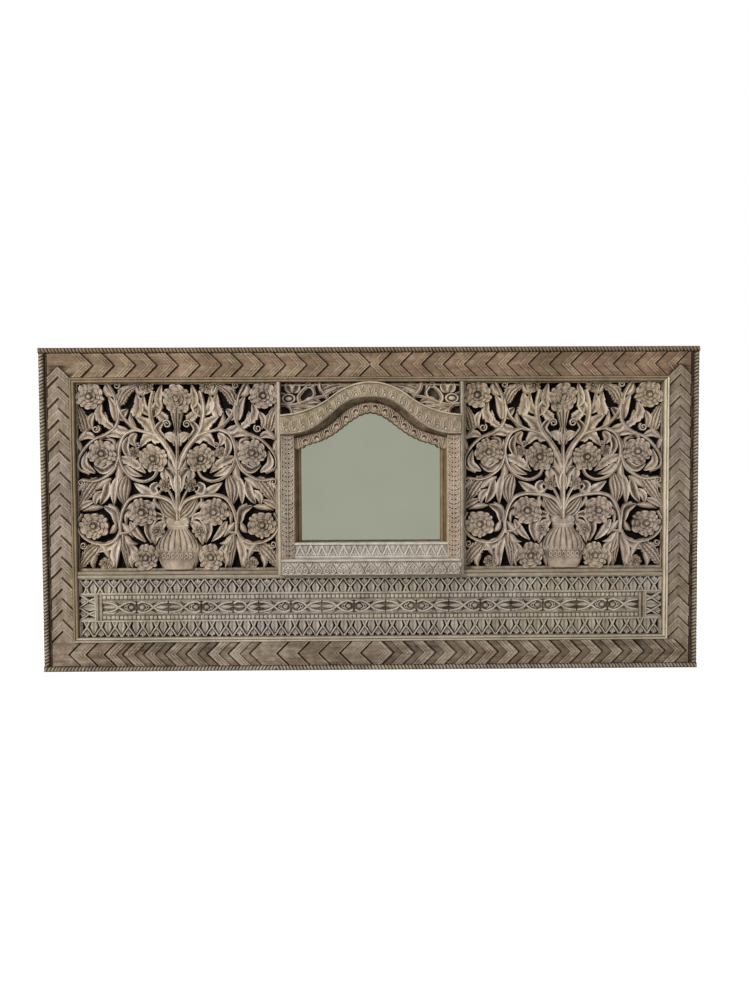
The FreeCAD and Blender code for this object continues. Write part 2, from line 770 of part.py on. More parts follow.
def floral_growth(middle, half, side):
    """Leaves, stems and flowers on one side of the vase."""
    pieces = []
    for start, end, width in leaf_shares:
        plan = lens(floral_place(start, middle, half, side), floral_place(end, middle, half, side),
                    width * floral_unit())
        pieces.append(raised(plan, ground, ground + leaf_thickness))
    for start, through, end, width in stem_shares:
        plan = arc_band(*[floral_place(share, middle, half, side) for share in (start, through, end)],
                        width * floral_unit())
        pieces.append(raised(plan, ground, ground + stem_thickness))
    for share in flower_shares:
        pieces.append(floral_flower(middle, half, share, side))
    return pieces


def floral_panel():
    """Pierced floral board on the right: rim, vase, stems, leaves and flowers in one piece."""
    middle = (edge_outer + sight_side) / 2
    half = (sight_side - edge_outer) / 2
    pieces = floral_growth(middle, half, 1) + floral_growth(middle, half, -1)
    start, end, width = crown_leaf_shares
    plan = lens(floral_place(start, middle, half, 1), floral_place(end, middle, half, 1),
                width * floral_unit())
    pieces.append(raised(plan, ground, ground + leaf_thickness))
    foot, head = (floral_place((0.0, share), middle, half, 1)[1] for share in trunk_shares)
    wide = trunk_width / 2
    trunk = polygon([(middle - wide, foot), (middle + wide, foot), (middle + wide / 2, head),
                     (middle - wide / 2, head)])
    pieces.append(raised(trunk, ground, ground + stem_thickness))
    pieces += floral_vase(middle, half, vase_shares, ground + vase_thickness)
    pieces += floral_vase(middle, half, vase_belly_shares, ground + vase_thickness + vase_relief)
    pieces.append(floral_flower(middle, half, crown_flower_shares, 1))
    sight = slab(edge_outer, sight_side, floral_bottom, sight_top, ground, hood_face)
    return joined([floral_rim(), joined(pieces).common(sight)])


# Arch of the mirror frame. Points are shares of the half width between the edge strips and of
# the rise from the spring of the arch to the top bead.
hood_top_shares = (((0.0, 1.0),), ((0.2, 0.955), (0.389, 0.846)), ((0.6, 0.644),),
                   ((0.764, 0.53), (0.953, 0.485)), ((1.0, 0.485),))
hood_under_shares = (((0.673, 0.302), (0.509, 0.44)), ((0.2545, 0.698),),
                     ((0.1455, 0.757), (0.0, 0.777)))
cusp_shares = (((0.0, 0.53),), ((0.145, 0.46), (0.273, 0.347)), ((0.375, 0.233),),
               ((0.545, 0.094),))
volute_shares = ((0.05, 0.58), (0.17, 0.52), (0.285, 0.42), (0.385, 0.31), (0.5, 0.215),
                 (0.62, 0.14), (0.745, 0.08))
spandrel_leaf_shares = (((1.02, 0.62), (0.55, 0.72), 0.1), ((0.85, 0.6), (0.62, 0.97), 0.12),
                        ((0.78, 0.72), (0.62, 0.9), 0.09), ((0.97, 0.97), (0.8, 0.86), 0.1),
                        ((0.55, 0.97), (0.28, 0.93), 0.1), ((0.58, 0.85), (0.36, 0.9), 0.09),
                        ((0.3, 0.97), (0.13, 0.985), 0.05), ((0.99, 0.5), (0.86, 0.66), 0.08))
spandrel_flower_shares = ((0.9, 0.77, 0.075), (0.84, 0.94, 0.07))


def arch_place(share):
    return (share[0] * jamb_outer, arch_spring + share[1] * arch_rise)


def arch_runs(shares):
    return [tuple(arch_place(share) for share in run) for run in shares]


def hood_plan():
    """Right half of the carved arch: ogee top, square foot, ogee underside."""
    top = arch_runs(hood_top_shares)
    under = arch_runs(hood_under_shares)
    start = top[0][-1]
    return outline(start, *top[1:], ((jamb_outer, hood_foot),), ((jamb_inner, hood_foot),), *under)


def arch_hood():
    """Right half of the hood, with a plain fillet standing along its top edge."""
    plan = hood_plan()
    body = raised(plan, ground, hood_face - hood_fillet_rise)
    whole = raised(plan, ground, hood_face)
    fillet = whole.cut(whole.translated(Vector(0, 0, -hood_fillet)))
    return joined([body, fillet])


def arch_cusp():
    """Right half of the scalloped inner arch, which steps back under the hood."""
    under = arch_runs(hood_under_shares)
    lower = arch_runs(cusp_shares)
    spring = (mirror_sight, arch_spring)
    bend = lower[-1][-1]
    plan = outline(lower[0][-1], *lower[1:-1], (bend, spring), ((jamb_inner, arch_spring),),
                   ((jamb_inner, hood_foot),), *under)
    volutes = [disc(*arch_place(share), volute_radius) for share in volute_shares]
    room = outline((0, arch_spring), ((jamb_inner, arch_spring),), ((jamb_inner, hood_foot),), *under)
    crest = ground + cusp_thickness + cusp_relief
    pieces = [raised(plan, ground, ground + cusp_thickness)]
    pieces += [raised(volute, ground, crest) for volute in volutes]
    return joined(pieces).common(raised(room, ground, crest))


def spandrel():
    """Right corner above the arch: a thin ground with leaves and two buds standing on it."""
    top = arch_runs(hood_top_shares)
    corner = (jamb_outer, sight_top)
    region = outline(top[0][-1], *top[1:], (corner,))
    leaves = [lens(arch_place(start), arch_place(end), width * jamb_outer)
              for start, end, width in spandrel_leaf_shares]
    buds = [disc(*arch_place(share), share[2] * jamb_outer) for share in spandrel_flower_shares]
    crest = ground + spandrel_relief + petal_ring_rise
    relief = joined([raised_together(leaves, ground, ground + spandrel_relief),
                     raised_together(buds, ground, crest)])
    return joined([raised(region, ground, ground + spandrel_ground),
                   relief.common(raised(region, ground, crest))])


def jamb():
    """Right jamb with a low relief of leaves pointing up."""
    rise = hood_foot - lower_sill_top
    count = int(rise / jamb_leaf_pitch)
    ends = [rise * (index + 1) / count for index in range(count)]
    body = jamb_thickness - jamb_relief
    board = chevron_board(ends, 0, rise, jamb_width, -1, body, jamb_relief, jamb_leaf_bar,
                          jamb_leaf_bevel)
    return upended(board, jamb_outer - jamb_width / 2, lower_sill_top)


def jamb_edge():
    """Plain splayed strip down the outside of the right jamb, from the fillet to the top bead."""
    face = ground + jamb_thickness
    points = [(jamb_outer, ground), (jamb_outer, face), (edge_outer, face - edge_drop),
              (edge_outer, ground)]
    places = [Vector(x, level_y(level), mid_rail_bottom) for x, level in points]
    section = Part.Face(Part.makePolygon(places + places[:1]))
    return section.extrude(Vector(0, 0, sight_top - mid_rail_bottom))


def mirror_trim():
    """Splayed strip from the right jamb in to the glass."""
    points = [(mirror_sight, ground), (mirror_sight, ground + trim_foot_thickness),
              (jamb_inner, ground + trim_front_thickness), (jamb_inner, ground)]
    places = [Vector(x, level_y(level), upper_sill_top) for x, level in points]
    section = Part.Face(Part.makePolygon(places + places[:1]))
    return section.extrude(Vector(0, 0, arch_spring - upper_sill_top))


def sill(half, z_from, height, thickness, plans):
    """Sill board with a ledge along its top and a row of carving under the ledge."""
    face = ground + thickness
    body = slab(-half, half, z_from, z_from + height, ground, face)
    ledge = slab(-half, half, z_from + height - sill_ledge_height, z_from + height, ground,
                 face + sill_ledge_overhang)
    field = slab(-half, half, z_from, z_from + height - sill_ledge_height, ground, face + sill_relief)
    carving = raised_together(plans, ground, face + sill_relief).common(field)
    return joined([body, ledge, carving])


def lower_sill():
    """Base of the mirror frame, with a row of shells over pairs of small rounds."""
    count = round(2 * jamb_outer / shell_pitch)
    pitch = 2 * jamb_outer / count
    eye = pitch / 4
    plans = []
    for index in range(count):
        middle = -jamb_outer + (index + 0.5) * pitch
        for side in (1, -1):
            plans.append(disc(middle + side * eye, mid_rail_bottom + eye, eye * round_share))
        plans.append(lens((middle, mid_rail_bottom + eye), (middle, lower_sill_top), eye))
    return sill(jamb_outer, mid_rail_bottom, lower_sill_height, lower_sill_thickness, plans)


def upper_sill():
    """Sill under the mirror, with a row of pointed teeth."""
    count = round(2 * jamb_inner / tooth_pitch)
    pitch = 2 * jamb_inner / count
    plans = []
    for index in range(count):
        middle = -jamb_inner + (index + 0.5) * pitch
        wide = pitch * tooth_share
        plans.append(polygon([(middle - wide, lower_sill_top), (middle + wide, lower_sill_top),
                              (middle, upper_sill_top)]))
    return sill(jamb_inner, lower_sill_top, upper_sill_height, upper_sill_thickness, plans)


# Sizes of the sill carving as shares of its pitch
round_share = 0.9
tooth_share = 0.4


def mirror_bottom():
    return upper_sill_top - mirror_cover


def mirror_top():
    return arch_place(hood_under_shares[-1][-1])[1] + mirror_cover


def mirror_glass():
    return slab(-mirror_half, mirror_half, mirror_bottom(), mirror_top(), ground - mirror_thickness,
                ground)


def mirror_backing():
    """Board behind the glass: a flange on the back board and a field that fills the window."""
    seat = ground - back_board_thickness
    wide = mirror_half + mirror_clearance + backing_flange
    flange = slab(-wide, wide, mirror_bottom() - mirror_clearance - backing_flange,
                  mirror_top() + mirror_clearance + backing_flange, seat - backing_thickness, seat)
    field = slab(-mirror_half, mirror_half, mirror_bottom(), mirror_top(), seat,
                 ground - mirror_thickness)
    holes = []
    for x, z in backing_screw_places():
        holes.append(peg(x, z, backing_screw_radius + screw_clearance,
                         seat - backing_thickness - overrun, seat + overrun))
    return cut_away(joined([flange, field]), holes)


def backing_screw_places():
    """Screws stand in the flange, up both sides of the window."""
    middle = (mirror_bottom() + mirror_top()) / 2
    reach = (mirror_top() - mirror_bottom()) / 2
    x = mirror_half + mirror_clearance + backing_flange / 2
    return [(sign * x, middle + share * reach) for sign in (1, -1) for share in backing_screw_shares]


def backing_screws():
    seat = ground - back_board_thickness
    back = seat - backing_thickness
    screws = []
    for x, z in backing_screw_places():
        head = peg(x, z, backing_screw_head_radius, back - backing_screw_head_height, back)
        screws.append(joined([head, peg(x, z, backing_screw_radius, back, seat + backing_screw_bite)]))
    return Part.makeCompound(screws)


def back_boards():
    """Black boards that close the pierced work, with a window for the mirror in the middle one."""
    low = ground - back_board_thickness
    seam = upright_seam()
    left = slab(-half_width, -seam, 0, panel_height, low, ground)
    centre = slab(-seam, seam, 0, panel_height, low, ground)
    wide = mirror_half + mirror_clearance
    window = slab(-wide, wide, mirror_bottom() - mirror_clearance, mirror_top() + mirror_clearance,
                  low, ground)
    pilot = [peg(x, z, backing_screw_radius + screw_clearance, low - overrun,
                 low + backing_screw_bite + screw_clearance) for x, z in backing_screw_places()]
    centre = cut_away(centre, [window] + pilot)
    boards = {"left": left, "centre": centre, "right": mirrored(left)}
    return {name: cut_away(board, screw_holes()) for name, board in boards.items()}


def upright_seam():
    """Centre of the inner uprights, where the back boards meet."""
    return edge_outer


def upright_places():
    """Centre of each upright of the rear frame."""
    side = half_width - batten_inset - upright_width / 2
    return {"left": -side, "mid_left": -upright_seam(), "mid_right": upright_seam(), "right": side}


def batten_bottoms():
    return {"top": panel_height - batten_inset - batten_height, "bottom": 0}


def rear_batten(name):
    """Horizontal board of the rear frame, mortised for the uprights."""
    foot = batten_bottoms()[name]
    wide = half_width - batten_inset
    batten = slab(-wide, wide, foot, foot + batten_height, 0, batten_thickness)
    middle = batten_thickness / 2
    cuts = screw_holes()
    deep = tenon_length + mortise_clearance
    for x in upright_places().values():
        low, high = (foot, foot + deep) if name == "top" else (foot + batten_height - deep,
                                                               foot + batten_height)
        cuts.append(slab(x - tenon_width / 2 - mortise_clearance, x + tenon_width / 2 + mortise_clearance,
                         low, high, middle - tenon_thickness / 2, middle + tenon_thickness / 2))
    if name == "top":
        for sign in (1, -1):
            cuts += plate_recess(sign * plate_place)
    return cut_away(batten, cuts)


def rear_upright(x):
    """Upright of the rear frame with a tenon at each end."""
    low = batten_bottoms()["bottom"] + batten_height
    high = batten_bottoms()["top"]
    middle = batten_thickness / 2
    body = slab(x - upright_width / 2, x + upright_width / 2, low, high, 0, batten_thickness)
    tenon = slab(x - tenon_width / 2, x + tenon_width / 2, low - tenon_length, high + tenon_length,
                 middle - tenon_thickness / 2, middle + tenon_thickness / 2)
    return cut_away(joined([body, tenon]), screw_holes() + [backing_room()])


def backing_room():
    """Space behind the back board that the mirror backing and its screws take."""
    seat = ground - back_board_thickness
    wide = mirror_half + mirror_clearance + backing_flange + mirror_clearance
    low = seat - backing_thickness - backing_screw_head_height
    return slab(-wide, wide, mirror_bottom() - backing_flange - 2 * mirror_clearance,
                mirror_top() + backing_flange + 2 * mirror_clearance, low, seat)


def plate_middle():
    return batten_bottoms()["top"] + batten_height / 2


def plate_recess(x):
    """Recess for a hanging plate, a pocket behind its hole and pilot holes for its screws."""
    z = plate_middle()
    cuts = [slab(x - plate_length / 2, x + plate_length / 2, z - plate_height / 2, z + plate_height / 2,
                 0, plate_thickness),
            peg(x, z, hang_pocket_radius, 0, plate_thickness + hang_pocket_depth)]
    for sign in (1, -1):
        cuts.append(peg(x + sign * plate_screw_spread, z, plate_screw_radius + screw_clearance, 0,
                        plate_screw_length + screw_clearance))
    return cuts


def hanging_plates():
    """Steel plates flush with the wall side of the top batten, each with a hole to hang by."""
    plates = []
    z = plate_middle()
    for x in (-plate_place, plate_place):
        plate = slab(x - plate_length / 2, x + plate_length / 2, z - plate_height / 2,
                     z + plate_height / 2, 0, plate_thickness)
        cuts = [peg(x, z, hang_hole_radius, 0, plate_thickness)]
        for sign in (1, -1):
            cuts.append(peg(x + sign * plate_screw_spread, z, plate_screw_radius + screw_clearance, 0,
                            plate_thickness))
        plates.append(cut_away(plate, cuts))
    return Part.makeCompound(plates)


def frame_screw_places():
    """Screws through the rear frame into the carved rails and stiles."""
    places = []
    for share in rail_screw_shares:
        for sign in (1, -1) if share > 0 else (1,):
            x = sign * share * stile_outer
            places.append((x, rope_width + rail_width / 2))
            places.append((x, top_rail_bottom + rail_width / 2))
    side = (stile_outer + half_width - batten_inset - upright_width) / 2
    for share in stile_screw_shares:
        z = bottom_rail_top + share * (top_rail_bottom - bottom_rail_top)
        places += [(side, z), (-side, z)]
    return places


def screw_holes():
    """Clearance holes and countersinks for the frame screws."""
    holes = []
    for x, z in frame_screw_places():
        holes.append(peg(x, z, screw_radius + screw_clearance, -overrun, ground + screw_bite
                         + screw_clearance))
        holes.append(countersink(x, z, screw_head_radius + screw_clearance,
                                 screw_radius + screw_clearance, 0, screw_head_height + screw_clearance))
    return holes


def frame_screws():
    """Countersunk screws of the rear frame, and the two in each hanging plate."""
    screws = []
    for x, z in frame_screw_places():
        head = countersink(x, z, screw_head_radius, screw_radius, 0, screw_head_height)
        screws.append(joined([head, peg(x, z, screw_radius, 0, ground + screw_bite)]))
    z = plate_middle()
    for x in (-plate_place, plate_place):
        for sign in (1, -1):
            screws.append(peg(x + sign * plate_screw_spread, z, plate_screw_radius, 0,
                              plate_screw_length))
    return Part.makeCompound(screws)


def build():
    """Every piece of the panel by name."""
    pieces = {}
    for name in ("top", "bottom"):
        pieces["rear_batten_" + name] = rear_batten(name)
    for name, x in upright_places().items():
        pieces["rear_upright_" + name] = rear_upright(x)
    for name, board in back_boards().items():
        pieces["back_board_" + name] = board
    drilled = screw_holes()
    tops = (("left", -stile_outer, -top_rail_joint), ("centre", -top_rail_joint, top_rail_joint),
            ("right", top_rail_joint, stile_outer))
    for name, x_from, x_to in tops:
        pieces["chevron_rail_top_" + name] = cut_away(top_rail(x_from, x_to), drilled)
    for name, x_from, x_to in (("left", -stile_outer, bottom_rail_joint),
                               ("right", bottom_rail_joint, stile_outer)):
        pieces["chevron_rail_bottom_" + name] = cut_away(bottom_rail(x_from, x_to), drilled)
    for side, sign in (("left", -1), ("right", 1)):
        for name, board in chevron_stiles(sign).items():
            pieces["chevron_stile_" + side + "_" + name] = cut_away(board, drilled)
    for name, moulding in rope_mouldings().items():
        pieces["rope_moulding_" + name] = moulding
    pieces.update(beads())
    pieces.update(lattice_strips())
    pieces["bead_row_lower"] = bead_row(lower_beads_bottom)
    pieces["bead_row_upper"] = bead_row(upper_beads_bottom)
    pieces["carved_blocks"] = carved_blocks()
    pieces["band_end_strips"] = band_ends()
    pieces["mid_fillet"] = mid_fillet()
    handed = {"mid_rail": mid_rail(), "floral_panel": floral_panel(), "arch_hood": arch_hood(),
              "arch_cusp": arch_cusp(), "spandrel": spandrel(), "jamb": jamb(),
              "jamb_edge": jamb_edge(), "mirror_trim": mirror_trim()}
    for name, shape in handed.items():
        pieces[name + "_right"] = shape
        pieces[name + "_left"] = mirrored(shape)
    pieces["sill_lower"] = lower_sill()
    pieces["sill_upper"] = upper_sill()
    pieces["mirror_glass"] = mirror_glass()
    pieces["mirror_backing"] = mirror_backing()
    pieces["backing_screws"] = backing_screws()
    pieces["frame_screws"] = frame_screws()
    pieces["hanging_plates"] = hanging_plates()
    return pieces


os.makedirs("parts", exist_ok=True)
for name, shape in sorted(build().items()):
    shape.exportStep("parts/" + name + ".step")
    print(name, len(shape.Solids), shape.isValid(), round(shape.Volume / 1000, 1))
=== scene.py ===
"""Looks of a carved jali wall panel with an arched mirror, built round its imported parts.

Tables are in millimetres: x across the panel from its middle, z up from its foot, and level
out from the wall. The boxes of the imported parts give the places, and meshes are in metres.
"""

from __future__ import annotations

import logging
import math
import random
from collections.abc import Sequence
from dataclasses import dataclass, field
from enum import Enum

import bpy
import numpy as np
from mathutils import Matrix, Vector

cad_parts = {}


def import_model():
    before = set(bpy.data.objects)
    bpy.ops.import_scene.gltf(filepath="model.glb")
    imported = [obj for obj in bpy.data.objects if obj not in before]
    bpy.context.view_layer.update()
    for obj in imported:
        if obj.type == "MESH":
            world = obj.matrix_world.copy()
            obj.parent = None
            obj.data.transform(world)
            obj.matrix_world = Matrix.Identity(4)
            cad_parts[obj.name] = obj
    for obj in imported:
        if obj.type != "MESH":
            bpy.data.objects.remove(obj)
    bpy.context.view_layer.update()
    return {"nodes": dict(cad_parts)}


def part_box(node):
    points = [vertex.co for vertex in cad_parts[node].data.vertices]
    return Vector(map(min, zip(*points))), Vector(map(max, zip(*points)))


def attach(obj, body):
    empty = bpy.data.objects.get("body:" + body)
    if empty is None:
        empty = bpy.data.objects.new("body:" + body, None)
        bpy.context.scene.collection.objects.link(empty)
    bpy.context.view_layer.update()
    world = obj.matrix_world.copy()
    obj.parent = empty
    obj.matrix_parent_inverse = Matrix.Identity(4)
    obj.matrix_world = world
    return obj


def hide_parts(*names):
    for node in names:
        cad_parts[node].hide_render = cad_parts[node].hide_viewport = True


LOG = logging.getLogger("panel")
MM = 0.001
WALL_NODE = "rear_batten_top"
SMOOTH_ANGLE = math.radians(38)
# Levels of the ground behind the carving and of the boards' face, and fall of a petal's crease.
GROUND = 28.0
FRAME_FACE = 58.0
PETAL_CREASE = 2.2
Place = tuple[float, float]
Stop = tuple[float, float, float]
Tone = tuple[int, int, int]


# ---------------------------------------------------------------- measures from the frame


def wall_y() -> float:
    """Depth of the wall plane in metres, from the back of the rear frame."""
    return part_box(WALL_NODE)[1].y


@dataclass(frozen=True)
class Span:
    """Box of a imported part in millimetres, with levels out from the wall.

    Attributes:
        left: Lowest x.
        right: Highest x.
        bottom: Lowest z.
        top: Highest z.
        back: Level of its back.
        front: Level of its front.
    """

    left: float
    right: float
    bottom: float
    top: float
    back: float
    front: float

    @classmethod
    def of(cls, node: str) -> Span:
        """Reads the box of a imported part.

        Args:
            node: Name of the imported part.

        Returns:
            Its box, in millimetres.
        """
        low, high = (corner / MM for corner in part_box(node))
        wall = wall_y() / MM
        return cls(low.x, high.x, low.z, high.z, wall - high.y, wall - low.y)

    @property
    def width(self) -> float:
        """Length along x."""
        return self.right - self.left

    @property
    def height(self) -> float:
        """Length along z."""
        return self.top - self.bottom

    @property
    def base(self) -> tuple[Place, Place]:
        """Ends of its lower edge."""
        return (self.left, self.bottom), (self.right, self.bottom)

    @property
    def post(self) -> tuple[Place, Place]:
        """Ends of its left edge."""
        return (self.left, self.bottom), (self.left, self.top)

    @property
    def middle(self) -> Place:
        """Middle of the box on the wall plane."""
        return (self.left + self.right) / 2, (self.bottom + self.top) / 2


# ---------------------------------------------------------------- forms


def outward(places: np.ndarray, faces: list[tuple[int, ...]]) -> list[tuple[int, ...]]:
    """Turns the faces of a closed form so that they point outwards.

    Args:
        places: Rows of x, level and z.
        faces: Corner numbers of each face.

    Returns:
        The faces, all reversed where the form was inside out.
    """
    corners = np.array([(face[0], face[step], face[step + 1])
                        for face in faces for step in range(1, len(face) - 1)])
    a, b, c = (places[corners[:, number]] * (1, -1, 1) for number in range(3))
    volume = np.einsum("ij,ij->i", a, np.cross(b, c)).sum()
    return faces if volume > 0 else [face[::-1] for face in faces]


@dataclass
class Form:
    """One closed carved form.

    Attributes:
        places: Rows of x, level and z.
        faces: Corner numbers of each face.
        crests: Share of each place, from 0 in a recess to 1 on a high edge, which sets
            its painted shade and painted highlight.
    """

    places: np.ndarray
    faces: list[tuple[int, ...]]
    crests: np.ndarray

    def placed(self, x: float = 0, level: float = 0, z: float = 0, turn: float = 0,
               size: float = 1, flip: bool = False) -> Form:
        """Copy of the form at another place on the wall plane.

        Args:
            x: Move across.
            level: Move out from the wall.
            z: Move up.
            turn: Turn on the wall plane, in radians, from x towards z.
            size: Scale on the wall plane.
            flip: Whether x is mirrored first.

        Returns:
            The new form.
        """
        side = -1 if flip else 1
        cos, sin = math.cos(turn) * size, math.sin(turn) * size
        old = self.places * (side, 1, 1)
        new = np.column_stack((old[:, 0] * cos - old[:, 2] * sin + x, old[:, 1] + level,
                               old[:, 0] * sin + old[:, 2] * cos + z))
        faces = [face[::-1] for face in self.faces] if flip else self.faces
        return Form(new, faces, self.crests)


def bands(rows: int, points: int) -> list[tuple[int, ...]]:
    """Four-cornered faces between each ring of points and the next."""
    return [(row * points + (number + 1) % points, row * points + number,
             (row + 1) * points + number, (row + 1) * points + (number + 1) % points)
            for row in range(rows - 1) for number in range(points)]


def ringed(rings: np.ndarray, crests: np.ndarray) -> Form:
    """Closed form through a row of equal rings, capped at both ends.

    Args:
        rings: Array of rings by points by x, level and z.
        crests: Crest share of each point of each ring.

    Returns:
        The closed form.
    """
    count, points = rings.shape[:2]
    faces = [tuple(range(points)), tuple(reversed(range((count - 1) * points, count * points)))]
    places = rings.reshape(-1, 3)
    return Form(places, outward(places, faces + bands(count, points)), crests.reshape(-1))


def sheeted(front: np.ndarray, crests: np.ndarray, foot: float) -> Form:
    """Closed board whose front is a grid of places and whose back is flat.

    Args:
        front: Array of rows by columns by x, level and z.
        crests: Crest share of each place of the grid.
        foot: Level of the back.

    Returns:
        The closed form.
    """
    rows, columns = front.shape[:2]
    back = front.copy()
    back[:, :, 1] = foot
    places = np.concatenate((front, back[:, ::-1]), axis=1).reshape(-1, 3)
    shades = np.concatenate((crests, np.zeros_like(crests)), axis=1)
    points = 2 * columns
    faces = bands(rows, points)
    for start, step in ((0, 1), ((rows - 1) * points, -1)):
        for number in range(columns - 1):
            far = start + points - number
            faces.append((start + number, start + number + 1, far - 2, far - 1)[::step])
    return Form(places, outward(places, faces), shades.reshape(-1))


class Cut(Enum):
    """Sections of carved strips: place across from -1 to 1, share of the rise, and crest."""

    STEM = ((-1, 0.5, 0.4), (-0.82, 0.84, 0.8), (-0.4, 1, 1), (0.05, 0.94, 0.85), (0.4, 0.76, 0.5),
            (0.8, 0.86, 0.85), (1, 0.5, 0.4))
    ROUND = ((-1, 0.45, 0.3), (-0.72, 0.82, 0.8), (-0.3, 0.97, 1), (0.3, 0.97, 1),
             (0.72, 0.82, 0.8), (1, 0.45, 0.3))
    LEAF = ((-1, 0.64, 0.7), (-0.84, 0.92, 1), (-0.42, 0.84, 0.75), (0, 0.7, 0.35),
            (0.42, 0.84, 0.75), (0.84, 0.92, 1), (1, 0.64, 0.7))
    RIDGE = ((-1, 0.6, 0.5), (-0.45, 0.82, 0.7), (0, 1, 1), (0.45, 0.82, 0.7), (1, 0.6, 0.5))
    CUP = ((-1, 0.95, 1), (-0.78, 1, 1), (-0.4, 0.72, 0.4), (0, 0.62, 0.2), (0.4, 0.72, 0.4),
           (0.78, 1, 1), (1, 0.95, 1))
    FLUTES = ((-1, 0.6, 0.6), (-0.8, 0.88, 0.95), (-0.55, 0.66, 0.25), (-0.3, 1, 1), (0, 0.7, 0.25),
              (0.3, 1, 1), (0.55, 0.66, 0.25), (0.8, 0.88, 0.95), (1, 0.6, 0.6))


def curved(points: list[Place], count: int) -> np.ndarray:
    """Smooth path through a few points, with even steps.

    Args:
        points: Places the path goes through.
        count: Number of places wanted on it.

    Returns:
        Rows of x and z.
    """
    knots = np.array(points, float)
    if len(knots) == 2:
        return np.linspace(knots[0], knots[1], count)
    padded = np.vstack((2 * knots[0] - knots[1], knots, 2 * knots[-1] - knots[-2]))
    fine = []
    for index in range(len(knots) - 1):
        a, b, c, d = padded[index:index + 4]
        for share in np.linspace(0, 1, 12, endpoint=False):
            fine.append(0.5 * (2 * b + (c - a) * share + (2 * a - 5 * b + 4 * c - d) * share ** 2
                               + (3 * b - a - 3 * c + d) * share ** 3))
    fine = np.array(fine + [knots[-1]])
    lengths = np.concatenate(([0], np.cumsum(np.linalg.norm(np.diff(fine, axis=0), axis=1))))
    steps = np.linspace(0, lengths[-1], count)
    return np.column_stack([np.interp(steps, lengths, fine[:, axis]) for axis in (0, 1)])


def swept(path: np.ndarray, halves: np.ndarray, tops: np.ndarray, foot: float, cut: Cut,
          lag: float = 0) -> Form:
    """Strip carved along a path.

    Args:
        path: Rows of x and z.
        halves: Half width at each place.
        tops: Level of the crest at each place.
        foot: Level the strip rises from.
        cut: Section of the strip.
        lag: How far the sides trail behind the middle, in half widths.

    Returns:
        The closed strip.
    """
    along = np.gradient(path, axis=0)
    along /= np.maximum(np.linalg.norm(along, axis=1, keepdims=True), 1e-9)
    across = np.column_stack((-along[:, 1], along[:, 0]))
    stops = ((-1, 0, 0),) + cut.value + ((1, 0, 0),)
    rings = np.zeros((len(path), len(stops), 3))
    crests = np.zeros(rings.shape[:2])
    for number, (share, rise, crest) in enumerate(stops):
        reach = (share * halves)[:, None]
        spots = path + across * reach - along * np.abs(reach) * lag
        rings[:, number, 0] = spots[:, 0]
        rings[:, number, 2] = spots[:, 1]
        rings[:, number, 1] = foot + (tops - foot) * rise
        crests[:, number] = crest
    return ringed(rings, crests)


def stem(points: list[Place], width: float, top: float, foot: float, cut: Cut = Cut.STEM,
         taper: float = 0.7) -> Form:
    """Carved ribbon stem through a few points.

    Args:
        points: Places it goes through.
        width: Full width at its thick end.
        top: Level of its crest.
        foot: Level it rises from.
        cut: Section of the ribbon.
        taper: Width of its thin end as a share of the thick one.

    Returns:
        The closed ribbon.
    """
    reach = sum(math.dist(a, b) for a, b in zip(points, points[1:]))
    count = max(6, int(reach / 7))
    path = curved(points, count)
    share = np.linspace(0, 1, count)
    halves = width / 2 * (1 + (taper - 1) * share)
    return swept(path, halves, np.full(count, top), foot, cut)


def leaf(points: list[Place], width: float, top: float, foot: float, teeth: int = 0,
         cut: Cut = Cut.LEAF, fullness: float = 0.8, tip_drop: float = 3) -> Form:
    """Carved leaf along a spine, with a toothed edge where it has teeth.

    Args:
        points: Spine from stalk to tip.
        width: Full width at its widest.
        top: Level of its crest.
        foot: Level it rises from.
        teeth: Teeth along each edge.
        cut: Section of the leaf.
        fullness: How round its outline is; lower is rounder.
        tip_drop: How far its ends fall below the crest.

    Returns:
        The closed leaf.
    """
    count = max(13, teeth * 4 + 1)
    path = curved(points, count)
    share = np.linspace(0, 1, count)
    swell = np.sin(np.pi * np.clip(share, 0.02, 0.985) ** 0.8) ** fullness
    halves = width / 2 * np.maximum(swell, 0.06)
    tops = top - tip_drop * (2 * np.abs(share - 0.5)) ** 2
    lag = 0.0
    if teeth:
        saw = (share * teeth) % 1
        halves = halves * (1 - 0.3 * saw)
        tops = tops - 2.6 * saw
        lag = 0.55
    return swept(path, halves, tops, foot, cut, lag)


def scroll(x: float, z: float, radius: float, top: float, foot: float, start: float = 0,
           turns: float = 1.35, hand: int = 1) -> Form:
    """Curl that winds in to its eye.

    Args:
        x: Place of the eye across.
        z: Place of the eye up.
        radius: Outer radius.
        top: Level of its crest.
        foot: Level it rises from.
        start: Angle of its outer end, in radians.
        turns: Number of turns.
        hand: 1 to wind from x towards z, -1 the other way.

    Returns:
        The closed curl.
    """
    count = int(turns * 16) + 2
    share = np.linspace(0, 1, count)
    angle = start + hand * share * turns * math.tau
    reach = radius * (0.84 - 0.66 * share)
    path = np.column_stack((x + reach * np.cos(angle), z + reach * np.sin(angle)))
    halves = radius * (0.2 - 0.07 * share)
    return swept(path, halves, top - 1.5 * (1 - share), foot, Cut.ROUND)


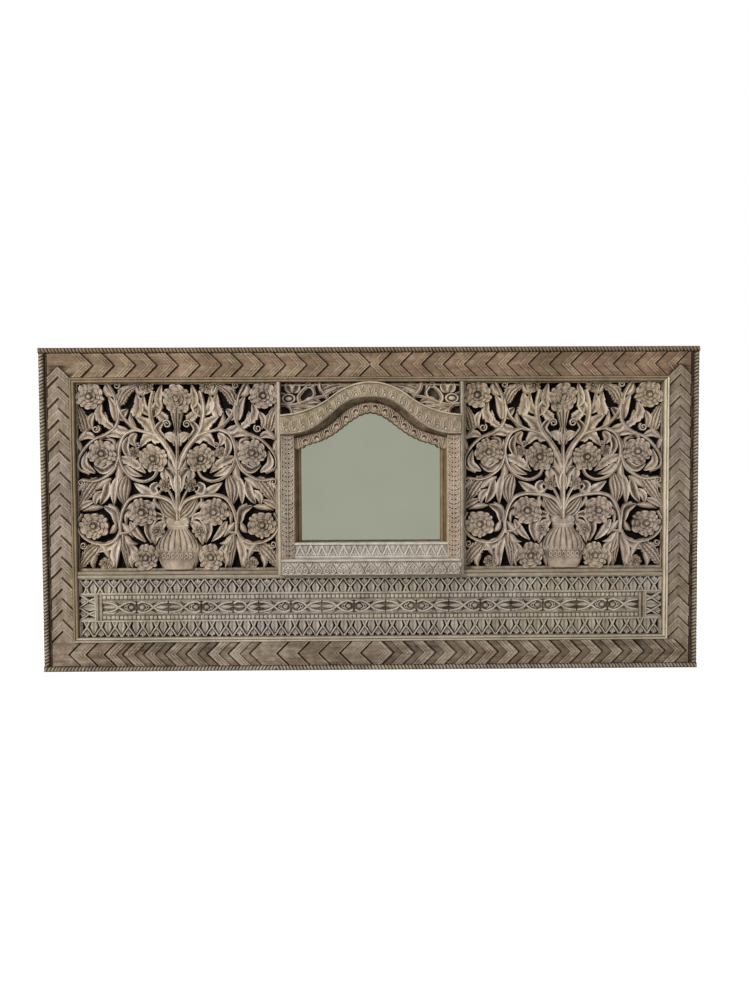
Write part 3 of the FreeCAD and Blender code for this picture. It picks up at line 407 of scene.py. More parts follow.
def turned(x: float, z: float, rings: list[tuple[float, float, float, float]], petals: int,
           turn: float = 0, steps: int = 4, oval: float = 1) -> Form:
    """Round form with a scalloped edge, such as one tier of petals, a ring or a bud.

    Args:
        x: Place of its middle across.
        z: Place of its middle up.
        rings: Radius, level, crest and depth of the scallops, from the foot in to the middle.
        petals: Number of scallops.
        turn: Turn of the scallops, in radians.
        steps: Points on each scallop.
        oval: Height of the outline as a share of its width.

    Returns:
        The closed form.
    """
    count = petals * steps
    angles = np.arange(count) * math.tau / count
    crease = np.abs(np.cos(petals * angles / 2)) ** 6
    rows, shades = [], []
    for radius, level, crest, scallop in rings:
        reach = radius * (1 - scallop * crease)
        drop = PETAL_CREASE * crease * bool(scallop)
        bearing = angles + turn
        rows.append(np.column_stack((x + reach * np.cos(bearing), level - drop,
                                     z + reach * oval * np.sin(bearing))))
        # The creases between the scallops are darkened as painted shade.
        shades.append(crest * (1 - 0.5 * crease) if scallop else np.full(count, crest))
    rows[0][:, 1] = rings[0][1]
    return ringed(np.array(rows), np.array(shades))


def flower(x: float, z: float, radius: float, top: float, foot: float, petals: int = 12,
           turn: float = 0) -> list[Form]:
    """Rosette of cupped petals in tiers round a small heart, a little uneven as carved.

    Args:
        x: Place of its middle across.
        z: Place of its middle up.
        radius: Outer radius.
        top: Level of its heart.
        foot: Level it rises from.
        petals: Petals in the outer tier.
        turn: Turn of the petals, in radians.

    Returns:
        Its closed forms.
    """
    r = radius
    forms = []
    tiers = ((1, 7, 0, 0), (0.73, 4.8, 3, 0.4), (0.46, 2.6, 6, 0.9))
    for share, drop, fewer, lean in tiers if r > 13 else tiers[::2]:
        edge, level = share * r, top - drop
        rows = [(edge, foot, 0, 0.1), (edge, level - 1.4, 0.6, 0.1), (0.96 * edge, level, 1, 0.1),
                (0.87 * edge, level - 1.5, 0.55, 0.06), (0.74 * edge, level - 1.2, 0.75, 0.05),
                (0.62 * edge, level - 3.5, 0.25, 0.02)]
        forms.append(turned(x, z, rows, max(5, petals - fewer), turn + lean,
                            6 if share == 1 else 4))
    forms.append(turned(x + 0.03 * r, z - 0.03 * r, [
        (0.15 * r, foot, 0, 0), (0.14 * r, top - 3, 0.4, 0), (0.09 * r, top - 1.4, 0.85, 0),
        (0.03 * r, top - 2, 0.5, 0)], 5, steps=2))
    for form in forms:
        across, up = form.places[:, 0] - x, form.places[:, 2] - z
        angle = np.arctan2(up, across)
        swell = (1 + 0.05 * np.sin(2 * angle + 5 * turn) + 0.05 * np.sin(5 * angle + 9 * turn)
                 + 0.03 * np.sin(7 * angle + x))
        angle = angle + 0.12 * np.sin(3 * angle + 3 * turn + z)
        reach = np.hypot(across, up) * swell
        form.places[:, 0], form.places[:, 2] = x + reach * np.cos(angle), z + reach * np.sin(angle)
        high = form.places[:, 1] > foot + 5
        form.places[:, 1] += high * (0.7 * np.sin(4 * angle + x) - 0.7)
    return forms


def boss(x: float, z: float, radius: float, top: float, foot: float, oval: float = 1) -> Form:
    """Small smooth dome."""
    return turned(x, z, [(radius, foot, 0, 0), (radius, top - 0.55 * (top - foot) * 0.5, 0.6, 0),
                         (0.8 * radius, top - 1, 0.95, 0), (0.4 * radius, top, 1, 0)],
                  5, steps=2, oval=oval)


def ring(x: float, z: float, radius: float, thick: float, top: float, foot: float,
         oval: float = 1) -> Form:
    """Raised ring with a sunk middle."""
    return turned(x, z, [(radius, foot, 0, 0), (radius, top - 2, 0.6, 0),
                         (radius - 0.3 * thick, top, 1, 0), (radius - 0.7 * thick, top, 1, 0),
                         (radius - thick, top - 3.5, 0.1, 0)], 7, steps=2, oval=oval)


def run_along(profile: list[Stop], start: Place, end: Place, foot: float, mitres: Place = (0, 0),
              step: float = 60, wobble: float = 0.25, seed: int = 1) -> Form:
    """Straight moulding, slightly uneven as hand planing leaves it.

    Args:
        profile: Place across to the left of its run, level and crest of each line.
        start: Place of its first end.
        end: Place of its other end.
        foot: Level of its back.
        mitres: Lengthening at the start and at the end for each unit across.
        step: Distance between its sections.
        wobble: Largest unevenness.
        seed: Seed of the unevenness.

    Returns:
        The closed moulding.
    """
    rng = random.Random(seed)
    length = math.dist(start, end)
    along = ((end[0] - start[0]) / length, (end[1] - start[1]) / length)
    across = (-along[1], along[0])
    count = max(2, int(length / step) + 1)
    stops = [(profile[0][0], foot, 0), *profile, (profile[-1][0], foot, 0)]
    rings = np.zeros((count, len(stops), 3))
    crests = np.zeros((count, len(stops)))
    for row in range(count):
        share = row / (count - 1)
        sway = rng.uniform(-wobble, wobble) if 0 < row < count - 1 else 0
        for number, (place, level, crest) in enumerate(stops):
            reach = share * length - place * mitres[0] * (1 - share) + place * mitres[1] * share
            side = place + sway * (0 < number < len(stops) - 1)
            rise = level - abs(rng.uniform(0, wobble)) * (0 < number < len(stops) - 1)
            rings[row, number] = (start[0] + along[0] * reach + across[0] * side, rise,
                                  start[1] + along[1] * reach + across[1] * side)
            crests[row, number] = crest
    return ringed(rings, crests)


# ---------------------------------------------------------------- pieces


def alone(piece: bpy.types.Object) -> None:
    """Deselects everything, then selects one object and makes it active."""
    bpy.ops.object.select_all(action="DESELECT")
    piece.select_set(True)
    bpy.context.view_layer.objects.active = piece


def apply_modifier(piece: bpy.types.Object, kind: str, **settings: object) -> None:
    """Adds a modifier with its settings and applies it.

    Args:
        piece: Object that gets it.
        kind: Kind of modifier.
        settings: Its settings by name.
    """
    alone(piece)
    modifier = piece.modifiers.new(kind.lower(), kind)
    for key, value in settings.items():
        setattr(modifier, key, value)
    bpy.ops.object.modifier_apply(modifier=modifier.name)


@dataclass
class Carving:
    """Piece made of closed carved forms that stand on or run into each other.

    Attributes:
        name: Name of the piece.
        forms: Its forms.
    """

    name: str
    forms: list[Form] = field(default_factory=list)

    def add(self, *forms: Form) -> None:
        """Adds forms to the piece."""
        self.forms.extend(forms)

    def shaped(self) -> bpy.types.Object:
        """Makes the mesh object of all forms, in metres, with its crest attribute.

        Returns:
            The new object, at the origin.
        """
        wall = wall_y()
        places = np.concatenate([form.places for form in self.forms])
        spots = np.column_stack((places[:, 0] * MM, wall - places[:, 1] * MM, places[:, 2] * MM))
        faces, start = [], 0
        for form in self.forms:
            faces += [tuple(corner + start for corner in face) for face in form.faces]
            start += len(form.places)
        mesh = bpy.data.meshes.new(self.name)
        mesh.from_pydata(spots.tolist(), [], faces)
        crest = mesh.attributes.new("crest", "FLOAT", "POINT")
        crest.data.foreach_set("value", np.concatenate([form.crests for form in self.forms]))
        piece = bpy.data.objects.new(self.name, mesh)
        bpy.context.scene.collection.objects.link(piece)
        return piece

    def dressed(self, finish: Finish, slot: str, *nodes: str) -> None:
        """Makes the piece and dresses it."""
        dress(self.shaped(), finish, slot, *nodes)

    def paired(self, finish: Finish, node: str, left: Finish | None = None) -> None:
        """Dresses a carved piece of the right half and its mirrored twin.

        Args:
            finish: Its finish.
            node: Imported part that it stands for, without its side.
            left: Finish of the twin, where it differs.
        """
        twin = Carving(self.name.replace("right", "left"),
                       [form.placed(flip=True) for form in self.forms])
        self.dressed(finish, "wood_carved", node + "_right")
        twin.dressed(left or finish, "wood_carved", node + "_left")


def dress(piece: bpy.types.Object, finish: Finish, slot: str, *nodes: str) -> None:
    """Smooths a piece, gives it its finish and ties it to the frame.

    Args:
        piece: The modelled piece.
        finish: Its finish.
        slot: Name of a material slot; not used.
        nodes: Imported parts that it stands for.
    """
    alone(piece)
    bpy.ops.object.shade_smooth_by_angle(angle=SMOOTH_ANGLE)
    piece.data.materials.clear()
    piece.data.materials.append(finish.material())
    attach(piece, "root")
    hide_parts(*nodes)
    LOG.info("%s: %d faces", piece.name, len(piece.data.polygons))


# ---------------------------------------------------------------- finishes


def linear(tone: Tone) -> tuple[float, ...]:
    """Linear colour with full alpha from an 8-bit display colour."""
    shares = [value / 255 for value in tone]
    return (*[share / 12.92 if share <= 0.04045 else ((share + 0.055) / 1.055) ** 2.4
              for share in shares], 1.0)


@dataclass
class NodeBench:
    """Short ways to lay out shader nodes in one material.

    Attributes:
        tree: Node tree of the material.
    """

    tree: bpy.types.NodeTree

    def new(self, kind: str, **inputs: object) -> bpy.types.Node:
        """Adds a node and fills its inputs from values or from output sockets.

        Args:
            kind: Node type.
            inputs: Values by input name, with underscores for spaces.

        Returns:
            The new node.
        """
        node = self.tree.nodes.new(kind)
        for key, value in inputs.items():
            self.fill(node.inputs[key.replace("_", " ")], value)
        return node

    def fill(self, socket: bpy.types.NodeSocket, value: object) -> None:
        """Links an output socket to an input, or writes a plain value in it.

        Args:
            socket: Input to fill.
            value: Output socket or plain value.
        """
        if isinstance(value, bpy.types.NodeSocket):
            self.tree.links.new(value, socket)
        else:
            socket.default_value = value

    def sum(self, mode: str, first: object, second: object) -> object:
        """Output of a Math node on two values.

        Args:
            mode: Operation of the node.
            first: First value or socket.
            second: Second value or socket.

        Returns:
            Its output socket.
        """
        node = self.tree.nodes.new("ShaderNodeMath")
        node.operation = mode
        for socket, value in zip(node.inputs, (first, second)):
            self.fill(socket, value)
        return node.outputs[0]

    def blend(self, share: object, first: object, second: object) -> object:
        """Colour output of a Mix node.

        Args:
            share: Share of the second colour.
            first: First colour or socket.
            second: Second colour or socket.

        Returns:
            Its output socket.
        """
        node = self.tree.nodes.new("ShaderNodeMix")
        node.data_type = "RGBA"
        for number, value in ((0, share), (6, first), (7, second)):
            self.fill(node.inputs[number], value)
        return node.outputs[2]

    def scaled(self, scale: tuple[float, float, float]) -> object:
        """Object coordinates stretched by a scale for each axis."""
        where = self.tree.nodes.new("ShaderNodeTexCoord").outputs["Object"]
        return self.new("ShaderNodeMapping", Vector=where, Scale=scale).outputs["Vector"]

    def noise(self, vector: object, scale: float, detail: float = 3,
              roughness: float = 0.55) -> object:
        """Factor output of a noise texture."""
        return self.new("ShaderNodeTexNoise", Vector=vector, Scale=scale, Detail=detail,
                        Roughness=roughness).outputs[0]

    def spread(self, share: object, **ends: float) -> object:
        """Stretches a value from From_Min and From_Max to To_Min and To_Max, 0 and 1 by default."""
        return self.new("ShaderNodeMapRange", Value=share, **ends).outputs[0]


@dataclass(frozen=True)
class Finish:
    """Base of the finishes, with one material made the first time it is used.

    Attributes:
        name: Name of the material.
    """

    name: str

    def material(self) -> bpy.types.Material:
        """Material of this finish, made once.

        Returns:
            The material.
        """
        made = bpy.data.materials.get(self.name)
        if made is None:
            made = bpy.data.materials.new(self.name)
            made.use_nodes = True
            made.node_tree.nodes.clear()
            bench = NodeBench(made.node_tree)
            shader = bench.new("ShaderNodeBsdfPrincipled")
            output = bench.new("ShaderNodeOutputMaterial")
            made.node_tree.links.new(shader.outputs[0], output.inputs[0])
            self.lay(bench, shader)
        return made

    def lay(self, bench: NodeBench, shader: bpy.types.Node) -> None:
        """Lays the nodes of this finish before its shader.

        Args:
            bench: Bench of the material.
            shader: Its surface shader.
        """
        raise NotImplementedError


class Grain(Enum):
    """Way the grain runs, as how tightly a pattern repeats along x, y and z."""

    ALONG = (5.0, 60.0, 60.0)
    UPRIGHT = (60.0, 60.0, 5.0)
    CARVED = (34.0, 40.0, 12.0)


@dataclass(frozen=True)
class OldWood(Finish):
    """Bleached, dusty old wood: dark in its recesses with dust and painted shade, pale and bare
    along its high edges with wear and a painted highlight.

    Attributes:
        recess: Colour at the bottom of the cuts: dust and painted shade.
        shade: Painted shade colour of low and sheltered faces.
        body: Colour of the open faces.
        pale: Colour of high faces: rubbed wear and a painted highlight.
        tint: Second body colour, which drifts over the first in patches.
        grain: Way the grain runs.
        tinted: Share of the second body colour.
        wear: Strength of grain, patches and stains over the body colours.
    """

    recess: Tone
    shade: Tone
    body: Tone
    pale: Tone
    tint: Tone
    grain: Grain = Grain.CARVED
    tinted: float = 0.6
    wear: float = 1.0

    def lay(self, bench: NodeBench, shader: bpy.types.Node) -> None:
        """Lays crest, grain, patches and specks over each other.

        The crest share paints shade into low places and highlights onto high edges.

        Args:
            bench: Bench of the material.
            shader: Its surface shader.
        """
        stretched = bench.scaled(self.grain.value)
        even = bench.scaled((1, 1, 1))
        streaks = bench.noise(stretched, 1.0, 4, 0.6)
        fibres = bench.noise(stretched, 5.5, 3, 0.6)
        specks = bench.noise(even, 330, 2, 0.6)
        crest = bench.new("ShaderNodeAttribute")
        crest.attribute_name = "crest"
        drift = 0.0
        for pattern, weight in ((streaks, 0.55), (fibres, 0.3), (bench.noise(even, 6.5, 3), 0.45),
                                (specks, 0.4), (bench.noise(even, 38, 4, 0.65), 0.5)):
            change = bench.sum("MULTIPLY", bench.sum("SUBTRACT", pattern, 0.5), weight)
            drift = bench.sum("ADD", drift, change)
        drift = bench.sum("MULTIPLY", drift, self.wear)
        # The crest share sets painted shade in the cuts and painted highlights on the high edges.
        height = bench.sum("MULTIPLY", crest.outputs["Fac"], 0.72)
        share = bench.sum("ADD", bench.sum("ADD", height, drift), 0.06)
        tints = bench.spread(bench.noise(even, 3.1, 2), From_Min=0.42, From_Max=0.62)
        body = bench.blend(bench.sum("MULTIPLY", tints, self.tinted), linear(self.body),
                           linear(self.tint))
        tone = linear(self.recess)
        for low, high, next_tone in ((0.02, 0.3, linear(self.shade)), (0.25, 0.62, body),
                                     (0.62, 1.0, linear(self.pale))):
            tone = bench.blend(bench.spread(share, From_Min=low, From_Max=high), tone, next_tone)
        bench.fill(shader.inputs["Base Color"], tone)
        bench.fill(shader.inputs["Roughness"], bench.spread(streaks, To_Min=0.62, To_Max=0.86))
        shader.inputs["Specular IOR Level"].default_value = 0.25
        relief = bench.sum("ADD", bench.sum("MULTIPLY", fibres, 0.7),
                           bench.sum("MULTIPLY", specks, 0.5))
        bump = bench.new("ShaderNodeBump", Height=relief, Strength=0.35, Distance=0.0012)
        bench.fill(shader.inputs["Normal"], bump.outputs[0])


@dataclass(frozen=True)
class PlainFinish(Finish):
    """Even finish with faint mottling, for boards, card, glass and metal.

    Attributes:
        colour: Main colour.
        worn: Colour of the mottling.
        roughness: Roughness of the clean surface.
        metal: Metallic share.
        scale: How tightly the mottling repeats in a metre.
        shine: Strength of the surface gloss.
    """

    colour: Tone
    worn: Tone
    roughness: float = 0.8
    metal: float = 0.0
    scale: float = 14.0
    shine: float = 0.5

    def lay(self, bench: NodeBench, shader: bpy.types.Node) -> None:
        """Lays the mottling and a faint unevenness.

        Args:
            bench: Bench of the material.
            shader: Its surface shader.
        """
        shader.inputs["Specular IOR Level"].default_value = self.shine
        shader.inputs["Metallic"].default_value = self.metal
        cloud = bench.noise(bench.scaled((1, 1, 1)), self.scale, 4, 0.6)
        share = bench.spread(cloud, From_Min=0.38, From_Max=0.68)
        bench.fill(shader.inputs["Base Color"],
                   bench.blend(share, linear(self.colour), linear(self.worn)))
        gloss = bench.spread(cloud, To_Min=self.roughness * 0.85,
                             To_Max=min(1.0, self.roughness * 1.15))
        bench.fill(shader.inputs["Roughness"], gloss)


TOP_WOOD = OldWood("old_wood_top", (40, 26, 12), (84, 66, 47), (108, 91, 69), (148, 129, 105),
                   (118, 91, 74), Grain.ALONG, 0.8, 1.7)
BOTTOM_WOOD = OldWood("old_wood_bottom", (34, 22, 11), (76, 64, 50), (113, 99, 83),
                      (152, 139, 122), (112, 92, 74), Grain.ALONG, 0.8, 1.7)
STILE_WOOD = OldWood("old_wood_stile", (42, 28, 15), (90, 75, 61), (122, 108, 96),
                     (150, 136, 123), (120, 105, 80), Grain.UPRIGHT, 0.8, 1.7)
ROPE_WOOD = OldWood("old_wood_rope", (52, 38, 24), (92, 78, 61), (134, 120, 102), (172, 160, 142),
                    (124, 118, 104), Grain.CARVED)
# Darker copy of the bead wood for the left and top beads and the top rope: painted shade.
BEAD_PAINTED_SHADE = OldWood("old_wood_bead", (44, 30, 15), (86, 70, 51), (111, 94, 73), (142, 124, 100),
                    (113, 101, 77), Grain.UPRIGHT)
BEAD_LOW = OldWood("old_wood_low_bead", (46, 32, 18), (104, 91, 74), (146, 133, 115),
                   (178, 166, 147), (138, 130, 108), Grain.ALONG)
# Lighter copy of the bead wood for the right bead, whose face turns to the lamp: painted light.
BEAD_PAINTED_LIT = OldWood("old_wood_pale_bead", (70, 56, 38), (138, 122, 98), (180, 165, 141),
                    (208, 196, 174), (174, 160, 134), Grain.UPRIGHT)
BAND_WOOD = OldWood("old_wood_band", (30, 22, 14), (100, 89, 77), (148, 137, 126), (192, 184, 173),
                    (142, 130, 106), Grain.CARVED, 0.8)
LEAF_WOOD = OldWood("old_wood_leaf", (26, 17, 10), (88, 75, 62), (158, 142, 127), (210, 197, 182),
                    (154, 136, 108), Grain.CARVED, 0.8)
ARCH_WOOD = OldWood("old_wood_arch", (52, 38, 23), (112, 98, 76), (150, 137, 115), (182, 169, 147),
                    (142, 124, 108), Grain.CARVED, 0.8)
CUSP_WOOD = OldWood("old_wood_cusp", (30, 16, 7), (92, 76, 58), (142, 124, 103), (188, 170, 148),
                    (138, 121, 98), Grain.CARVED)
# Darker copy of the jamb wood for the left jamb: painted shade.
JAMB_PAINTED_SHADE = OldWood("old_wood_painted_shade_jamb", (50, 38, 26), (100, 87, 73), (140, 126, 112), (178, 166, 152),
                    (134, 124, 104), Grain.UPRIGHT)
# Lighter copy of the jamb wood for the right jamb, which faces the lamp: painted light.
JAMB_PAINTED_LIT = OldWood("old_wood_painted_lit_jamb", (64, 48, 32), (120, 102, 84), (166, 147, 130),
                    (204, 186, 168), (160, 142, 118), Grain.UPRIGHT)
SILL_WOOD = OldWood("old_wood_sill", (66, 54, 40), (128, 118, 105), (172, 163, 151),
                    (210, 204, 194), (164, 150, 134), Grain.CARVED)
SILL_PALE = OldWood("old_wood_pale_sill", (70, 58, 44), (136, 127, 115), (181, 174, 163),
                    (216, 211, 203), (174, 162, 147), Grain.CARVED)
TRIM_WOOD = OldWood("old_wood_trim", (48, 34, 18), (92, 74, 52), (134, 114, 86), (164, 146, 118),
                    (118, 100, 70), Grain.UPRIGHT)


# ---------------------------------------------------------------- frame boards


class Side(Enum):
    """Edge of the panel, with its name in the parts."""

    TOP = "top"
    BOTTOM = "bottom"
    LEFT = "left"
    RIGHT = "right"

    @property
    def level(self) -> bool:
        """Whether the edge runs along x."""
        return self in (Side.TOP, Side.BOTTOM)


@dataclass
class RopeMoulding:
    """Twisted rope round the edge: strands laid over a core, with a sunk land inside.

    Attributes:
        side: Edge that it runs along.
        width: Width of the rope.
        pitch: Distance between strands.
        slant: How far a strand leans over the rope's width.
        turn_back: Place along the lower edge left of which the strands lean the other way.
        radius: Radius of the bundle of strands.
    """

    side: Side
    width: float = 18.0
    pitch: float = 10.6
    slant: float = 9.0
    turn_back: float = -294.0
    radius: float = 6.9

    def strand(self, core: float) -> Form:
        """One strand lying over the core, at the start of the run.

        Args:
            core: Level of the axis of the rope.

        Returns:
            The closed strand.
        """
        section = ((-4.9, -2.0, 0.0), (-3.8, 0.6, 0.6), (-1.4, 2.0, 0.95), (1.4, 2.0, 0.95),
                   (3.8, 0.6, 0.6), (4.9, -2.0, 0.0))
        count = 8
        rings = np.zeros((count, len(section), 3))
        crests = np.zeros((count, len(section)))
        for row in range(count):
            share = row / (count - 1)
            angle = math.pi * (0.06 + 0.88 * share)
            thin = 0.72 + 0.28 * math.sin(angle)
            for number, (along, out, crest) in enumerate(section):
                reach = self.radius + out * thin
                rings[row, number] = (along * thin + self.slant * (share - 0.5),
                                      core + reach * math.sin(angle) * 1.02,
                                      self.width / 2 - reach * math.cos(angle))
                # Each strand darkens towards its ends, where it dips under its neighbours, as
                # painted shade.
                crests[row, number] = crest * (0.35 + 0.65 * math.sin(angle))
        return ringed(rings, crests)

    def build(self) -> None:
        """Lays core and strands along the edge and dresses them."""
        node = "rope_moulding_" + self.side.value
        span = Span.of(node)
        rng = random.Random(len(node) * 7)
        piece = Carving("rope_" + self.side.value)
        length = span.width if self.side.level else span.height
        core = span.front - self.radius - 2.2
        wide = self.width
        land = (span.height if self.side.level else span.width) - wide
        # The core between the strands and the sunk land get low crests, as painted shade.
        profile = [(0, core - 3, 0.2), (3, core + 3, 0), (wide - 3, core + 3, 0),
                   (wide, core - 3, 0)]
        if land > 1:
            profile += [(wide, core - 5, 0), (wide + land, core - 5, 0.2)]
        base = run_along(profile, (0, 0), (length, 0), GROUND)
        strand = self.strand(core)
        count = round(length / self.pitch)
        strands = [strand.placed(x=(number + 0.5) * length / count + rng.uniform(-0.5, 0.5),
                                 size=rng.uniform(0.985, 1.0), level=rng.uniform(-0.7, 0))
                   for number in range(count)]
        x, z, turn, flip = {
            Side.TOP: (span.left, span.top, math.pi, True),
            Side.BOTTOM: (span.right, span.bottom, 0, True),
            Side.LEFT: (span.left, span.top, -math.pi / 2, False),
            Side.RIGHT: (span.right, span.bottom, math.pi / 2, False)}[self.side]
        for form in (base, *strands):
            along = form.places[:, 0].mean()
            turned_back = self.side is Side.BOTTOM and span.right - along < self.turn_back
            if form is not base and (turned_back or not self.side.level):
                form = form.placed(x=2 * along, flip=True)
            form = form.placed(x=x, z=z, turn=turn, flip=flip)
            np.clip(form.places[:, 0], span.left, span.right, out=form.places[:, 0])
            np.clip(form.places[:, 2], span.bottom, span.top, out=form.places[:, 2])
            piece.add(form)
        # The top rope gets the darker bead wood, which paints the shade it lies in.
        finish = BEAD_PAINTED_SHADE if self.side is Side.TOP else ROPE_WOOD
        piece.dressed(finish, "wood_frame", node)


class Notch(Enum):
    """Cut of the chevron boards across one repeat.

    Each stop holds its distance back from a bar's point, drop and crest, and where the two arms
    of a bar differ also the drop and crest of the arm on the far side. Low crests at the slots
    and steps paint their shade, and the far arm's stops paint a dark shadow along its inner step
    while its tip slot stays lighter.
    """

    TOP_RAIL = ((-60.2, 6.2, 0.3), (-58.4, 5.6, 0.74), (-44.0, 4.6, 0.8), (-29.4, 4.4, 0.8),
                (-28.2, 4.4, 0.3), (-27.2, 0.8, 0.75), (-25.6, 0.2, 0.97), (-19.2, 0.2, 0.95),
                (-17.6, 1.6, 0.45), (-16.0, 0.2, 0.92), (-9.8, 0, 0.97), (-8.2, 1.6, 0.45),
                (-6.6, 0, 0.95), (-1.2, -0.3, 1), (-0.2, 0.6, 0.8), (0.5, 8.0, 0), (4.6, 8.0, 0))
    TOP_CORNER = ((-60.2, 4.0, 0.8), (-44.0, 4.2, 0.8), *TOP_RAIL[3:])
    BOTTOM_RAIL = ((-53.6, 5.0, 0.5), (-44.0, 4.8, 0.62), (-34.2, 5.0, 0.5), (-32.8, 5.4, 0.1),
                   (-31.8, 0.7, 0.85), (-30.4, 0, 1), (-26.0, -0.3, 1), (-24.3, 1.5, 0.55),
                   (-22.6, -0.3, 1), (-15.6, -0.3, 1), (-13.9, 1.5, 0.55), (-12.2, -0.2, 1),
                   (-4.6, 0.1, 1), (-0.6, 0.4, 0.95), (0.3, 9.0, 0), (5.8, 9.0, 0))
    BOTTOM_SPLIT = ((-53.6, 1.0, 0.76), (-34.0, 1.0, 0.74), (-32.8, 2.4, 0.4), *BOTTOM_RAIL[4:])
    BOTTOM_INNER = ((-53.6, 0.6, 0.85), (-51.0, 0, 0.95), (-46.6, -0.2, 0.95), (-44.8, 1.9, 0.4),
                    (-43.0, -0.2, 0.92), (-38.8, -0.2, 0.95), (-37.2, 1.6, 0.45),
                    (-35.4, 0.5, 0.78), (-20.0, 1.0, 0.74), (-4.6, 1.4, 0.78),
                    (-0.6, 1.6, 0.85), (0.3, 9.0, 0), (5.8, 9.0, 0))
    BOTTOM_PLAIN = ((-53.6, 1.0, 0.78), (-20.0, 1.0, 0.74), (-4.6, 1.4, 0.78), (-0.6, 1.6, 0.85),
                    (0.3, 9.0, 0), (5.8, 9.0, 0))
    STILE = ((-61.0, 5.6, 0.7), (-58.0, 5.3, 0.85), (-39.0, 5.0, 0.82, 5.6, 0.8),
             (-35.5, 5.0, 0.82, 9.0, 0.1), (-31.2, 5.2, 0.6, 9.5, 0), (-30.2, 0.9, 0.8),
             (-28.8, 0, 0.97), (-21.2, -0.2, 0.97), (-19.5, 1.3, 0.6), (-17.8, -0.2, 0.95),
             (-12.2, -0.2, 0.95), (-10.5, 1.3, 0.6), (-8.8, 0, 0.95), (-1.6, 0, 1),
             (-0.6, 0.8, 0.8, 0.5, 0.95), (0.2, 8.0, 0, 3.4, 0.5), (4.4, 8.0, 0, 4.4, 0.75))


@dataclass
class ChevronRun:
    """One stretch of V-cut board, drawn along x from the points of its bars.

    Attributes:
        ends: Places of the points of the bars along the run, each with its cut.
        start: Start of the stretch.
        end: End of the stretch.
        half: Half width of the board.
        lean: 1 where the arms run on past the points, -1 where they fall back.
        hand: 1 where the cut falls back from a point, -1 where it runs on.
        seed: Seed of the unevenness of the cuts.
    """

    ends: list[tuple[float, Notch]]
    start: float
    end: float
    half: float
    lean: int
    hand: int = 1
    seed: int = 3

    def form(self) -> Form:
        """Closed board, longer than its stretch by its slanted ends.

        Returns:
            The board, at its places along x and with z around zero.
        """
        rng = random.Random(self.seed)
        rows = []
        for end, notch in self.ends:
            shift, tone = rng.uniform(-0.6, 0.6), rng.uniform(0.84, 1.1)
            whole = notch.value[-1][0] + 1 - notch.value[0][0]
            beyond = [(end - other) * self.hand for other, _ in self.ends]
            stretch = min((room for room in beyond if room > 0), default=whole) - whole
            for number, (back, *cuts) in enumerate(notch.value):
                away = back - stretch * (back < -35)
                rows.append((end + self.hand * away + shift * bool(number),
                             *((drop, crest * tone) for drop, crest in (cuts[:2], cuts[-2:]))))
        rows.sort()
        reach, plain = 2 * self.half, ([4.0, 0.8], [4.0, 0.8])
        rows = [(min(self.start, rows[0][0]) - reach, *plain), (rows[0][0] - 1.5, *plain), *rows,
                (rows[-1][0] + 1.5, *plain), (max(self.end, rows[-1][0]) + reach, *plain)]
        shares = (-1.0, -0.985, -0.5, -0.02, 0.02, 0.5, 0.985, 1.0)
        front = np.zeros((len(rows), len(shares), 3))
        crests = np.zeros((len(rows), len(shares)))
        for row, (along, near, far) in enumerate(rows):
            for number, share in enumerate(shares):
                drop, crest = far if share > 0 else near
                edge = 1.6 if abs(share) == 1 else 0
                sway = 0.9 * math.sin(along * 0.11 + 2 * share) if abs(share) == 0.5 else 0
                front[row, number] = (along + self.lean * abs(share) * self.half + sway,
                                      FRAME_FACE + 4 - drop - edge, share * self.half)
                # The board's long edges, where it falls away, are darkened as painted shade.
                crests[row, number] = crest * (0.75 if edge else 1)
        return sheeted(front, crests, GROUND)


